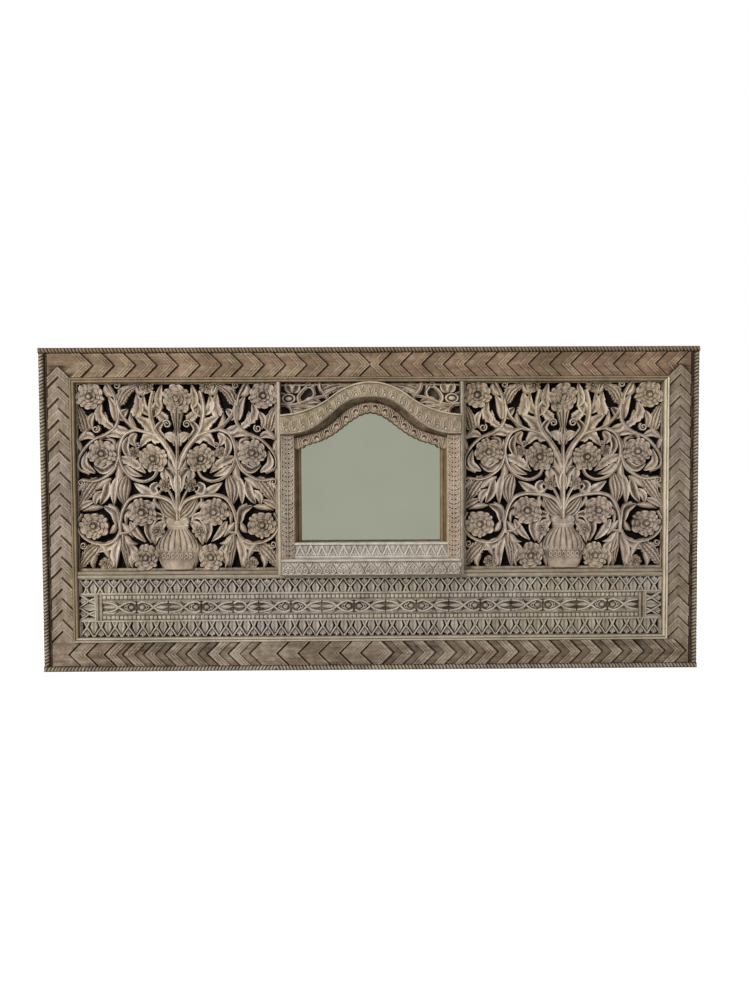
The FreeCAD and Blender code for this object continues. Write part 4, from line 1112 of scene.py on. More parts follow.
@dataclass
class ChevronFrame:
    """V-cut boards of the frame: rails above and below, and a pointed stile at each side.

    Attributes:
        top_pitch: Distance between the bars of the top rail.
        bottom_pitch: Distance between the bars of the bottom rail's right half.
        stile_pitch: Distance between the bars of a stile.
        bar: Width of a bar along its run.
        centre: Middle of the diamond in the bottom rail.
        first: Place of the first bar to the right from there.
        bottom_west: Places of the bars of the bottom rail's left half, set out less evenly.
        gap: Width of the joint round the head of a stile.
    """

    top_pitch: float = 65.4
    bottom_pitch: float = 65.1
    stile_pitch: float = 65.2
    bar: float = 25.0
    centre: float = 18.0
    first: float = 48.0
    bottom_west: tuple[float, ...] = (
        -30, -95, -160, -225, -290, -375, -442, -507, -573, -639, -705, -769, -824, -880, -933)
    gap: float = 1.6

    def board(self, name: str, form: Form, cuts: list[tuple[int, float, int]]) -> object:
        """Makes a board and trims it by planes.

        Args:
            name: Name of the piece.
            form: Its closed form.
            cuts: Axis, place and side of each plane; what lies beyond goes.

        Returns:
            The new object.
        """
        piece = Carving(name, [form]).shaped()
        alone(piece)
        bpy.ops.object.mode_set(mode="EDIT")
        for axis, place, side in cuts:
            normal = Vector(np.eye(3)[axis])
            bpy.ops.mesh.select_all(action="SELECT")
            bpy.ops.mesh.bisect(plane_co=normal * place * MM, plane_no=normal * side,
                                use_fill=True, clear_outer=True)
        bpy.ops.object.mode_set(mode="OBJECT")
        return piece

    def stiles(self) -> None:
        """Builds both boards of both stiles."""
        for side in ("left", "right"):
            for part in ("lower", "upper"):
                node = f"chevron_stile_{side}_{part}"
                span = Span.of(node)
                point = Span.of(f"chevron_stile_{side}_upper").top
                count = int((point - 110) / self.stile_pitch) + 1
                ends = [(point - self.stile_pitch * number, Notch.STILE) for number in range(count)]
                run = ChevronRun(ends, 0, point, span.width / 2, -1, seed=len(node) + len(side))
                form = run.form()
                over = form.places[:, 0] + np.abs(form.places[:, 2]) - point
                form.places[:, 0] -= np.where(over > 0.1, over, 0)
                form = form.placed(turn=math.pi / 2, x=span.middle[0])
                cuts = [(2, span.bottom, -1)] + [(2, span.top, 1)] * (part == "lower")
                piece = self.board(node.replace("chevron_", ""), form, cuts)
                dress(piece, STILE_WOOD, "wood_frame", node)

    def rail(self, node: str, ends: list[tuple[float, Notch]], lean: int, finish: Finish,
             limits: Place, hand: int = 1) -> None:
        """Builds one side of a rail between two limits along x.

        Args:
            node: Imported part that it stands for.
            ends: Places of the points of the bars, each with its cut.
            lean: Lean of the arms.
            finish: Finish of the board.
            limits: Start and end along x.
            hand: Way in which the cut falls back from the points.
        """
        span = Span.of(node)
        start, end = limits
        run = ChevronRun(ends, start, end, span.height / 2, lean, hand, seed=int(abs(start)))
        form = run.form().placed(z=span.middle[1])
        name = node.replace("chevron_", "") + ("_start" if start < span.left + 1 else "_rest")
        piece = self.board(name, form, [(0, start, -1), (0, end, 1)])
        stile = Span.of("chevron_stile_right_upper")
        if end > stile.left or start < -stile.left:
            self.notch_head(piece, 1 if end > stile.left else -1, stile)
        dress(piece, finish, "wood_frame", node)

    def notch_head(self, piece: bpy.types.Object, sign: int, stile: Span) -> None:
        """Cuts the room for the pointed head of a stile out of a rail.

        Args:
            piece: Rail to cut.
            sign: Side of the panel, 1 on the right.
            stile: Box of the upper board of the right stile.
        """
        half = stile.width / 2 + self.gap
        middle = sign * stile.middle[0]
        foot, shoulder, tip = 850.0, stile.top - stile.width / 2, stile.top + self.gap
        outline = [(middle - half, foot), (middle + half, foot), (middle + half, shoulder),
                   (middle, tip), (middle - half, shoulder)]
        rings = np.array([[(x, level, z) for x, z in outline] for level in (0, 90)])
        cutter = Carving("head", [ringed(rings, np.zeros((2, len(outline))))]).shaped()
        apply_modifier(piece, "BOOLEAN", operation="DIFFERENCE", object=cutter, solver="EXACT")
        bpy.data.objects.remove(cutter)

    def rails(self) -> None:
        """Builds the rails in their lengths, meeting in the middle of the panel."""
        west = [(-self.top_pitch * number, Notch.TOP_CORNER if number == 13 else Notch.TOP_RAIL)
                for number in range(14)]
        east = [(self.top_pitch * number + self.bar, Notch.TOP_RAIL) for number in range(15)]
        for part in ("left", "centre", "right"):
            node = "chevron_rail_top_" + part
            span = Span.of(node)
            for bars, lean, start, end, spare in ((west, -1, span.left, min(span.right, 0), 40),
                                                  (east, 1, max(span.left, 0), span.right, 66)):
                near = [bar for bar in bars if start - spare < bar[0] < end + 66]
                if start < end:
                    self.rail(node, near, lean, TOP_WOOD, (start, end))
        outer = Span.of("chevron_rail_bottom_right").right
        west = [(place, Notch.BOTTOM_RAIL if 5 < number < 13 else Notch.BOTTOM_INNER)
                for number, place in enumerate(self.bottom_west) if place > -outer - 10]
        west[0] = (west[0][0], Notch.BOTTOM_PLAIN)
        east = [(self.centre + self.first + self.bottom_pitch * number,
                 Notch.BOTTOM_RAIL if number else Notch.BOTTOM_SPLIT) for number in range(15)]
        for part in ("left", "right"):
            node = "chevron_rail_bottom_" + part
            span = Span.of(node)
            for bars, lean, start, end in ((west, 1, span.left, min(span.right, self.centre)),
                                           (east, -1, max(span.left, self.centre), span.right)):
                if start < end:
                    self.rail(node, bars, lean, BOTTOM_WOOD, (start, end), -lean)


@dataclass
class BeadMoulding:
    """Plain double bead round the carved fields, mitred at the corners.

    Attributes:
        profile: Section from its outer edge inwards.
        corner: Distance from the middle beyond which a level end is mitred.
    """

    profile: tuple[Stop, ...] = (
        (0.4, 60.5, 0.4), (1.2, 64.0, 0.8), (3.4, 65.7, 1), (6.2, 65.0, 0.95), (7.6, 62.6, 0.25),
        (8.4, 62.4, 0.2), (9.8, 65.0, 0.9), (12.4, 65.8, 1), (14.8, 64.6, 0.9), (16.2, 61.0, 0.5),
        (17.0, 56.0, 0.15), (17.0, 47.5, 0))
    corner: float = 700.0

    def build(self) -> None:
        """Builds every length of the bead."""
        for part in ("left", "right", "bottom", "top_left", "top_centre", "top_right"):
            node = "bead_" + part
            span = Span.of(node)
            sign = 1 if part in ("right", "bottom") else -1
            profile = [(place * sign, level, crest) for place, level, crest in self.profile]
            if part in ("left", "right"):
                x = span.right if sign > 0 else span.left
                form = run_along(profile, (x, span.bottom), (x, span.top), GROUND,
                                 (-sign, -sign), seed=sign + 5)
            else:
                z = span.bottom if sign > 0 else span.top
                mitres = (-sign * (span.left < -self.corner), -sign * (span.right > self.corner))
                form = run_along(profile, (span.left, z), (span.right, z), GROUND, mitres,
                                 seed=len(part))
            # The right bead gets the lighter copy and the left and top beads the darker copy of one
            # bead wood: painted light and painted shade.
            finish = {"right": BEAD_PAINTED_LIT, "bottom": BEAD_LOW}.get(part, BEAD_PAINTED_SHADE)
            Carving(node + "_run", [form]).dressed(finish, "wood_moulding", node)


# ---------------------------------------------------------------- lower band


@dataclass
class Lattice:
    """Strip of lattice: crossed bars with petals between them and narrow slots beside them.

    Attributes:
        pitch: Distance between two crossings.
        cross: Height of the crossings, as a share of the strip.
        bar: Width of a bar.
        rim: Width of the plain edges.
        floor: Level of the sunk ground.
    """

    pitch: float = 43.5
    cross: float = 0.4
    bar: float = 6.7
    rim: float = 4.6
    floor: float = 35.0

    def petal(self, x: float, stops: list[Place], top: float) -> Form:
        """Flat petal that stands upright, from stops of height and half width.

        Args:
            x: Place of its middle.
            stops: Heights with the half width at each.
            top: Level of its crest.

        Returns:
            The closed petal.
        """
        heights = np.linspace(stops[0][0], stops[-1][0], 9)
        halves = np.interp(heights, [stop[0] for stop in stops], [stop[1] for stop in stops])
        path = np.column_stack((np.full(9, x), heights))
        form = swept(path, halves, np.full(9, top), self.floor, Cut.LEAF)
        raised = form.places[:, 1] > self.floor + 2
        form.crests[:] = np.clip(form.crests * 0.6 + 0.32, 0, 1) * raised
        return form

    def strip(self, length: float, width: float, top: float) -> list[Form]:
        """Forms of one strip along x from zero.

        Args:
            length: Length of the strip.
            width: Width of the strip.
            top: Level of its crest.

        Returns:
            Its closed forms.
        """
        count = max(2, round(length / self.pitch))
        pitch = length / count
        rim, face = self.rim, top - 0.6
        back = [(0.0, self.floor, 0.0), (width, self.floor, 0.0)]
        flat = [(0.0, top - 1.5, 0.6), (0.6, face, 0.9), (rim - 0.8, face, 0.9),
                (rim, top - 2, 0.4)]
        high = [(width - place, level, crest) for place, level, crest in reversed(flat)]
        forms = [run_along(lines, (0, 0), (length, 0), GROUND, seed=7)
                 for lines in (back, flat, high)]
        rng = random.Random(int(length))
        cross, head = width * self.cross, width - rim
        for number in range(count):
            x = (number + 0.5) * pitch + rng.uniform(-1, 1)
            lift = rng.uniform(-1.2, 0)
            for lean in (-1, 1):
                above = [(x, cross), (x + lean * pitch * 0.27, (cross + head) / 2 + 1),
                         (x + lean * pitch * 0.5, width - 2)]
                for path in (above, [(x, cross), (x + lean * 9, 1)]):
                    forms.append(stem(path, self.bar, top + lift, self.floor, Cut.ROUND, 1))
            forms.append(self.petal(x, [(cross + 7, 0.6), (head - 6.5, 10.6), (head - 4, 6.5)],
                                    face + lift))
            forms.append(stem([(x, head - 9), (x, width - 1)], 8, face + lift, self.floor,
                              Cut.ROUND, 1))
            forms.append(self.petal(x, [(0, 3.5), (cross - 8, 2.4), (cross - 3, 0.6)], face - 1))
            if number < count - 1:
                fan = [(0, 9.0), (4.6, 7.6), (9, 9.2), (cross, 12.4), (head - 8.5, 0.7)]
                forms.append(self.petal(x + pitch / 2, fan, face - lift - 1.2))
        for x in (0, length):
            forms.append(stem([(x, 1), (x, width - 1)], 16, face, self.floor, Cut.RIDGE, 1))
        return [self.kept(form, length) for form in forms]

    @staticmethod
    def kept(form: Form, length: float) -> Form:
        """Holds a form between the ends of its strip."""
        np.clip(form.places[:, 0], 0, length, out=form.places[:, 0])
        return form

    def build(self) -> None:
        """Builds the four strips."""
        for part, turn in (("top", 0), ("bottom", math.pi), ("left", math.pi / 2),
                           ("right", -math.pi / 2)):
            node = "lattice_" + part
            span = Span.of(node)
            sizes = (span.width, span.height)
            if part in ("left", "right"):
                sizes = sizes[::-1]
            x = span.left if part in ("top", "right") else span.right
            z = span.bottom if part in ("top", "left") else span.top
            forms = [form.placed(x=x, z=z, turn=turn) for form in self.strip(*sizes, span.front)]
            Carving(node + "_strip", forms).dressed(BAND_WOOD, "wood_band", node)


@dataclass
class BeadRow:
    """Row of small pillow beads on a sunk strip.

    Attributes:
        node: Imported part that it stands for.
        pitch: Distance between the beads.
        wide: Width and height of a bead.
    """

    node: str
    pitch: float = 13.1
    wide: float = 11.9

    def pillow(self) -> Form:
        """Rounded square bead, modelled once from a cube.

        Returns:
            The closed bead, around zero.
        """
        bpy.ops.object.select_all(action="DESELECT")
        bpy.ops.mesh.primitive_cube_add(size=1, location=(0, 0, 0))
        cube = bpy.context.object
        cube.scale = (self.wide, 15, self.wide * 1.02)
        bpy.ops.object.transform_apply(scale=True)
        apply_modifier(cube, "BEVEL", width=3.2, segments=2, limit_method="NONE")
        places = np.array([vertex.co for vertex in cube.data.vertices])
        faces = [tuple(polygon.vertices) for polygon in cube.data.polygons]
        places[:, 1] *= -1
        # Crest rises with the level, so each bead darkens towards the sunk strip as painted shade.
        crests = np.clip((places[:, 1] + 5) / 14, 0.2, 0.88)
        bpy.data.meshes.remove(cube.data)
        return Form(places, outward(places, faces), crests)

    def build(self) -> None:
        """Builds the sunk strip and its beads."""
        span = Span.of(self.node)
        rng = random.Random(int(span.bottom))
        count = round(span.width / self.pitch)
        pitch = span.width / count
        floor = span.front - 4.5
        edge, high = span.front - 2, span.height
        rows = [(0, edge, 0.5), (1.6, edge, 0.6), (2.4, floor, 0.2), (high - 2.4, floor, 0.2),
                (high - 1.6, edge, 0.6), (high, edge, 0.5)]
        piece = Carving(self.node + "_run", [run_along(rows, *span.base, GROUND)])
        pillow = self.pillow()
        for number in range(count):
            x = span.left + (number + 0.5) * pitch + rng.uniform(-0.4, 0.4)
            level = span.front - 7.6 - rng.uniform(0, 0.8)
            piece.add(pillow.placed(x=x, z=span.middle[1], level=level,
                                    turn=rng.uniform(-0.06, 0.06), size=rng.uniform(0.93, 1.03)))
        piece.dressed(BAND_WOOD, "wood_band", self.node)


@dataclass
class CarvedBlocks:
    """Row of carved blocks between the bead rows: crossed bands round an eye and leaves.

    Attributes:
        joints: Places of the joints between the blocks along x.
        plain: Number of the block that has leaves at both ends and no eye.
        gap: Joint between two blocks.
        relief: Height of the carving over the ground of a block.
    """

    joints: tuple[float, ...] = (-728, -630, -528, -430, -350, -250, -154, -54, 44, 140, 241, 339,
                                 435, 535, 640, 736)
    plain: int = 4
    gap: float = 1.2
    relief: float = 7.6

    def block(self, width: float, height: float, top: float, seed: int) -> list[Form]:
        """Forms of one block, from zero along x and z.

        Args:
            width: Length of the block.
            height: Height of the block.
            top: Level of its crest.
            seed: Seed of its small differences.

        Returns:
            Its closed forms.
        """
        rng = random.Random(seed)
        floor = top - self.relief
        mid = height / 2
        foot = floor - 1
        edge = [(0.6, floor, 0.2), (1.2, top - 2, 0.7), (3.4, top - 2, 0.7), (4.2, floor, 0.18),
                (height - 4.2, floor, 0.18), (height - 3.4, top - 2, 0.7),
                (height - 1.2, top - 2, 0.7), (height - 0.6, floor, 0.2)]
        forms = [run_along(edge, (self.gap / 2, 0), (width - self.gap / 2, 0), GROUND, wobble=0.4,
                           seed=seed)]
        eye, neck = width - 23, width * 0.47
        for side in (1, -1):
            band = [(width - 3, mid + side * 11), (width - 17, mid + side * 17),
                    (eye - 13, mid + side * 12), (neck, mid), (neck - 17, mid - side * 11),
                    (2, mid - side * 16)]
            forms.append(stem(band, 7.4, top, foot, Cut.ROUND, 0.9))
            forms.append(leaf([(neck - 6, mid + side * 8), (neck - 18, mid + side * 15.5),
                               (1, mid + side * 14.5)], 10.5, top - 0.6, foot, 2 * (seed % 2)))
            forms.append(leaf([(eye + 4, mid + side * 19.5), (neck + 8, mid + side * 15),
                               (neck - 12, mid + side * 19.5)], 7, top - 1.4, foot))
        forms.append(leaf([(neck - 6, mid), (20, mid + rng.uniform(-1, 1)), (1, mid)], 13,
                          top - 0.6, foot, cut=Cut.RIDGE))
        if seed == self.plain:
            forms.append(leaf([(neck + 6, mid), (width - 20, mid), (width - 1, mid)], 9, top - 0.6,
                              foot, cut=Cut.RIDGE))
            return forms
        ball = boss(eye + 6, mid, 7.6, top - 0.8, foot, 0.86)
        ball.crests[:] *= 0.76
        forms.append(ball)
        for step in (0, 7.4):
            reach = 11 - step * 0.5
            forms.append(stem([(eye + 1 - step, mid + reach), (eye - 4 - step, mid + reach * 0.6),
                               (eye - 8 - step, mid), (eye - 4 - step, mid - reach * 0.6),
                               (eye + 1 - step, mid - reach)], 3.8, top - 0.6, foot, Cut.ROUND, 1))
        return forms

    def build(self) -> None:
        """Builds the row."""
        span = Span.of("carved_blocks")
        piece = Carving("carved_blocks_run")
        ends = (span.left, *self.joints, span.right)
        for number, (start, end) in enumerate(zip(ends, ends[1:])):
            back = number % 2 if number < self.plain else 1 - number % 2
            for form in self.block(end - start, span.height, span.front, number):
                piece.add(form.placed(x=end if back else start, z=span.bottom, flip=bool(back)))
        piece.dressed(BAND_WOOD, "wood_band", "carved_blocks")


@dataclass
class PlainRuns:
    """Plain strips: the fillet over the lower band, the rails under the fields, the band's ends.

    Attributes:
        wobble: How far their faces wander up and down.
    """

    wobble: float = 0.4

    def bar(self, name: str, span: Span, profile: list[Stop], upright: bool = False) -> Form:
        """One plain strip with a section across its box.

        Args:
            name: Name, which seeds its unevenness.
            span: Its box.
            profile: Share across, drop below its front and crest.
            upright: Whether it runs up the panel.

        Returns:
            The closed strip.
        """
        wide = span.width if upright else span.height
        lines = [((-wide if upright else wide) * share, span.front - drop, crest)
                 for share, drop, crest in profile]
        ends = span.post if upright else span.base
        return run_along(lines, *ends, GROUND, wobble=self.wobble, step=40, seed=len(name))

    def build(self) -> None:
        """Builds the plain strips."""
        flat = [(0, 2.2, 0.4), (0.1, 0.5, 0.9), (0.5, 0, 0.8), (0.9, 0.5, 0.95), (1, 2.2, 0.5)]
        round_over = [(0, 5, 0.3), (0.1, 2.2, 0.7), (0.3, 0.5, 0.9), (0.7, 0.5, 1), (0.9, 2.2, 0.8),
                      (1, 5, 0.4)]
        fillet = self.bar("fillet", Span.of("mid_fillet"), flat)
        fillet.crests[:] *= 0.78
        Carving("mid_fillet_run", [fillet]).dressed(BEAD_LOW, "wood_moulding", "mid_fillet")
        for side in ("left", "right"):
            node = "mid_rail_" + side
            form = self.bar(node, Span.of(node), round_over)
            form.crests[:] *= 0.58
            Carving(node + "_run", [form]).dressed(BEAD_LOW, "wood_moulding", node)
        box = Span.of("band_end_strips")
        inner = Span.of("carved_blocks").right
        right = Span(inner, box.right, box.bottom, box.top, box.back, box.front)
        grooved = [(0, 2.2, 0.4), (0.08, 0.6, 0.85), (0.36, 0.4, 0.8), (0.44, 3.2, 0.15),
                   (0.6, 3.2, 0.12), (0.68, 0.6, 0.85), (0.92, 0.6, 0.8), (1, 2.2, 0.5)]
        piece = Carving("band_ends", [self.bar("ends", right, grooved, upright=True)])
        piece.forms[0].crests[:] *= 0.72
        piece.add(piece.forms[0].placed(flip=True))
        piece.dressed(BEAD_LOW, "wood_moulding", "band_end_strips")


# ---------------------------------------------------------------- floral fields


class Growth(Enum):
    """Kinds of leaf: teeth along each edge, section and roundness of the outline."""

    PLAIN = (0, Cut.LEAF, 0.8)
    NARROW = (0, Cut.RIDGE, 0.9)
    TOOTHED = (5, Cut.LEAF, 0.65)
    STRIPED = (7, Cut.FLUTES, 0.55)
    FLUTED = (0, Cut.FLUTES, 0.7)
    CUPPED = (0, Cut.CUP, 0.6)


PLAIN, NARROW, TOOTHED, STRIPED, FLUTED, CUPPED = Growth


def points_of(numbers: Sequence[float]) -> list[Place]:
    """Places from a row of a table, two numbers for each."""
    return list(zip(numbers[::2], numbers[1::2]))


def beside(x: float, z: float, side: int, *numbers: float) -> list[Place]:
    """Places given across and up from a point, mirrored where the side is -1."""
    return [(x + side * across, z + up) for across, up in points_of(numbers)]


@dataclass
class FloralField:
    """Pierced panel of flowers growing from a vase, mirrored about its own middle.

    Places in its tables are in thousandths: out from its middle by half its width, and up by
    its height. Widths and radii are thousandths of half its width.

    Attributes:
        rim: Width of the plain rim.
        rim_top: Level of the plain rim.
        leaf_top: Level of the leaves.
        stem_top: Level of the stems.
        flower_top: Level of the flowers' hearts.
        vase_top: Level of the vase.
        flowers: Place, radius and petals of each flower.
        curls: Place, radius, start and hand of each tendril.
        stems: Places along each stem, and its width.
        leaves: Places along each leaf, its width and kind.
        vase: Reach and height of each ring of the vase.
    """

    rim: float = 8.0
    rim_top: float = 46.0
    leaf_top: float = 49.0
    stem_top: float = 52.0
    flower_top: float = 60.0
    vase_top: float = 53.0
    flowers: tuple[tuple[int, ...], ...] = (
        (357, 313, 144, 12), (324, 71, 131, 11), (838, 242, 139, 12), (237, 600, 139, 12),
        (745, 628, 139, 12), (862, 931, 136, 12), (127, 460, 67, 8), (214, 214, 74, 6),
        (430, 630, 61, 8), (294, 982, 70, 9), (731, 38, 64, 8))
    curls: tuple[tuple[float, ...], ...] = (
        (100, 782, 48, 0.6, 1), (805, 758, 48, 2.2, 1), (959, 472, 45, 4.0, -1),
        (591, 987, 43, 1.0, 1), (948, 137, 45, 3.2, 1), (390, 667, 35, 2.0, -1))
    stems: tuple[tuple[int, ...], ...] = (
        (9, 320, 63, 366, 156, 392, 290, 403, 397, 402, 491, 380, 551, 327, 582, 263, 579, 193, 45),
        (578, 221, 624, 175, 718, 144, 852, 152, 959, 189, 1005, 249, 959, 306, 36),
        (5, 327, 56, 394, 96, 433, 32),
        (424, 754, 524, 727, 575, 667, 582, 610, 544, 547, 464, 499, 344, 478, 243, 499, 197, 540,
         40),
        (587, 610, 631, 547, 718, 506, 825, 482, 959, 489, 37),
        (595, 908, 579, 834, 611, 773, 705, 731, 825, 703, 925, 653, 988, 596, 979, 547, 878, 520,
         36),
        (595, 880, 618, 936, 680, 1000, 35), (595, 894, 557, 841, 491, 791, 397, 756, 290, 734, 36),
        (3, 540, 56, 618, 130, 681, 197, 724, 239, 773, 261, 830, 261, 887, 230, 958, 61),
        (190, 720, 290, 739, 437, 754, 40), (579, 214, 606, 327, 691, 356, 27),
        (579, 200, 491, 207, 424, 235, 29), (557, 196, 551, 122, 491, 86, 27))
    leaves: tuple[tuple[int | Growth, ...], ...] = (
        (5, 419, 31, 504, 119, 547, 99, CUPPED), (12, 281, 103, 317, 190, 387, 112, FLUTED),
        (223, 394, 337, 430, 440, 469, 83, PLAIN), (511, 508, 552, 433, 539, 352, 128, FLUTED),
        (604, 504, 640, 433, 640, 352, 70, PLAIN), (691, 476, 718, 412, 774, 356, 75, CUPPED),
        (805, 490, 898, 426, 1001, 338, 131, STRIPED), (611, 249, 635, 313, 742, 345, 78, CUPPED),
        (751, 341, 852, 338, 959, 320, 53, NARROW), (571, 186, 520, 101, 511, 7, 88, FLUTED),
        (587, 182, 640, 101, 635, 10, 83, PLAIN), (611, 161, 705, 132, 814, 101, 83, PLAIN),
        (818, 132, 918, 76, 1005, 7, 139, STRIPED),
        (142, 286, 232, 290, 302, 228, 270, 148, 78, CUPPED),
        (116, 262, 208, 222, 240, 138, 96, PLAIN), (122, 248, 150, 280, 126, 306, 40, NARROW),
        (484, 263, 417, 200, 330, 154, 70, PLAIN), (544, 193, 491, 150, 410, 143, 67, NARROW),
        (564, 256, 511, 221, 451, 178, 61, NARROW), (140, 540, 130, 508, 127, 476, 80, PLAIN),
        (197, 469, 247, 441, 183, 394, 64, CUPPED), (557, 603, 437, 575, 320, 522, 104, TOOTHED),
        (176, 695, 290, 713, 377, 660, 112, TOOTHED), (477, 717, 515, 660, 464, 593, 59, CUPPED),
        (491, 749, 564, 752, 622, 782, 80, PLAIN), (237, 734, 317, 791, 417, 823, 115, TOOTHED),
        (404, 752, 457, 788, 464, 841, 61, NARROW), (531, 802, 547, 830, 491, 862, 67, CUPPED),
        (417, 826, 381, 883, 400, 943, 131, TOOTHED), (250, 823, 190, 876, 163, 926, 88, CUPPED),
        (270, 830, 336, 876, 330, 936, 83, PLAIN), (578, 890, 511, 954, 370, 999, 118, STRIPED),
        (614, 802, 624, 873, 680, 931, 83, PLAIN), (725, 788, 774, 844, 751, 894, 104, TOOTHED),
        (912, 745, 943, 816, 992, 883, 123, STRIPED), (551, 717, 624, 734, 718, 724, 72, PLAIN),
        (631, 575, 731, 536, 832, 562, 61, CUPPED), (825, 525, 925, 568, 908, 639, 72, PLAIN),
        (103, 805, 163, 830, 217, 869, 99, TOOTHED), (143, 865, 183, 908, 150, 993, 75, PLAIN),
        (116, 699, 194, 752, 119, 810, 59, CUPPED), (23, 685, 83, 720, 140, 724, 72, PLAIN),
        (424, 115, 488, 65, 461, 7, 61, NARROW), (691, 93, 651, 44, 678, 5, 67, NARROW),
        (203, 122, 172, 58, 156, 5, 53, NARROW), (825, 93, 865, 44, 849, 5, 53, NARROW),
        (631, 476, 584, 511, 592, 582, 67, NARROW), (785, 688, 731, 724, 658, 703, 40, NARROW),
        (404, 327, 517, 299, 524, 235, 45, NARROW), (290, 426, 237, 405, 156, 433, 53, NARROW),
        (999, 695, 932, 724, 878, 766, 53, NARROW), (999, 327, 932, 356, 825, 377, 59, PLAIN),
        (290, 965, 370, 950, 410, 993, 53, NARROW), (464, 993, 504, 972, 598, 972, 53, NARROW),
        (825, 844, 865, 802, 845, 752, 59, PLAIN), (103, 582, 63, 554, 16, 497, 56, NARROW),
        (678, 639, 611, 653, 591, 695, 45, NARROW), (424, 540, 370, 554, 357, 596, 48, NARROW),
        (1001, 426, 959, 455, 878, 476, 53, NARROW), (691, 200, 651, 221, 618, 263, 53, NARROW),
        (163, 320, 237, 370, 210, 405, 40, NARROW), (627, 929, 694, 956, 707, 1004, 67, NARROW),
        (640, 763, 707, 795, 718, 850, 75, TOOTHED), (822, 711, 892, 725, 975, 703, 67, PLAIN),
        (956, 635, 993, 681, 999, 724, 53, NARROW), (408, 734, 453, 703, 421, 664, 72, PLAIN),
        (531, 564, 451, 524, 357, 506, 61, PLAIN), (667, 494, 745, 469, 814, 432, 70, NARROW),
        (751, 426, 814, 394, 828, 352, 70, PLAIN), (480, 140, 434, 90, 467, 37, 72, PLAIN),
        (825, 157, 745, 122, 691, 58, 59, NARROW), (183, 150, 217, 115, 197, 65, 40, NARROW),
        (370, 993, 330, 965, 344, 929, 61, PLAIN), (103, 639, 70, 603, 23, 575, 40, NARROW),
        (531, 320, 464, 356, 370, 380, 27, NARROW), (618, 653, 640, 695, 731, 703, 32, NARROW))
    vase: tuple[Place, ...] = (
        (136, 8), (146, 14), (163, 42), (188, 72), (207, 98), (213, 117), (206, 140), (188, 164),
        (158, 188), (126, 207), (103, 220), (98, 226), (106, 234), (107, 244), (94, 252), (40, 268))

    def growth(self, span: Span) -> list[Form]:
        """Stems, leaves and flowers on the right of the middle.

        Args:
            span: Box of the whole field.

        Returns:
            Closed forms around x zero.
        """
        unit = span.width / 2000
        rng = random.Random(11)
        forms = []
        for *path, width in self.stems:
            forms.append(stem(self.spots(span, *path), width * unit,
                              self.stem_top - rng.uniform(0, 1.5), GROUND))
        for *path, width, kind in self.leaves:
            forms.append(leaf(self.spots(span, *path), 1.12 * width * unit,
                              self.leaf_top + rng.uniform(-3, 1), GROUND, *kind.value))
        for x, z, radius, petals in self.flowers:
            x, z = self.spot(span, (x, z))
            top = self.flower_top - (1 if radius > 100 else 5) - rng.uniform(0, 1)
            forms += flower(x, z, radius * unit, top, GROUND, petals, rng.uniform(0, 1))
        for x, z, radius, start, hand in self.curls:
            x, z = self.spot(span, (x, z))
            forms.append(scroll(x, z, radius * unit, self.stem_top, GROUND, start, 1.4, hand))
        return forms

    @staticmethod
    def spot(span: Span, place: Place) -> Place:
        """Place from the middle of a field, in millimetres, of a place in the tables."""
        return place[0] * span.width / 2000, span.bottom + place[1] * span.height / 1000

    def spots(self, span: Span, *numbers: float) -> list[Place]:
        """Places in millimetres of a row of the tables, two numbers for each."""
        return [self.spot(span, place) for place in points_of(numbers)]

    def pot(self, span: Span) -> list[Form]:
        """Vase with fanned flutes over a zigzag, a band of eyed drops and a curled lip.

        Args:
            span: Box of the whole field.

        Returns:
            Closed forms around x zero.
        """
        unit = span.width / 2000
        bounds = np.sin(np.linspace(-1.35, 1.35, 10)) / math.sin(1.35)
        shares = [bounds[0]]
        for left, right in zip(bounds, bounds[1:]):
            shares += [left + 0.25 * (right - left), left + 0.75 * (right - left), right]
        front = np.zeros((len(self.vase), len(shares), 3))
        crests = np.zeros((len(self.vase), len(shares)))
        for row, (reach, up) in enumerate(self.vase):
            z = self.spot(span, (0, up))[1]
            for number, across in enumerate(shares):
                groove = number % 3 == 0 and 110 < up < 222
                band = 0.42 if 60 < up < 110 else 0.72
                round_off = 5 * (1 - abs(across) ** 3)
                front[row, number] = (across * reach * unit,
                                      self.vase_top + round_off - 2.4 * bool(groove), z)
                # Flutes are darkened and the vase darkens towards its sides where it turns away, as
                # painted shade; the band of drops is darker.
                crests[row, number] = (0.2 if groove else band) * (1 - 0.4 * abs(across) ** 3)
        forms = [sheeted(front, crests, GROUND)]
        z = self.spot(span, (0, 240))[1]
        forms.append(stem([(-106 * unit, z + 1), (0, z - 1), (106 * unit, z + 1)], 6,
                          self.vase_top + 6, GROUND, Cut.ROUND, 1))
        low, middle, high, peak = (self.spot(span, (0, up))[1] for up in (66, 82, 100, 124))
        for number in range(-4, 5):
            x, top = 44 * number * unit, self.vase_top + 5 * (1 - abs(44 * number / 205) ** 3)
            forms.append(stem([(x - 22 * unit, peak), (x, high - 2), (x + 22 * unit, peak)], 2.6,
                              top + 1.6, self.vase_top - 6, Cut.ROUND, 1))
            if abs(number) < 4:
                forms.append(ring(x + 1, middle, 18 * unit, 2.6, top + 2.4, self.vase_top - 6, 1.5))
                forms.append(boss(x + 22 * unit, low, 2.2, top + 2, self.vase_top - 6))
        for side in (1, -1):
            x, z = self.spot(span, (68 * side, 265))
            ball = boss(x, z, 55 * unit, self.vase_top + 4, GROUND, 0.9)
            ball.crests[:] *= 0.7
            forms.append(ball)
            forms.append(scroll(x, z, 52 * unit, self.vase_top + 5.5, GROUND,
                                math.pi if side > 0 else 0, 1.2, side))
        return forms

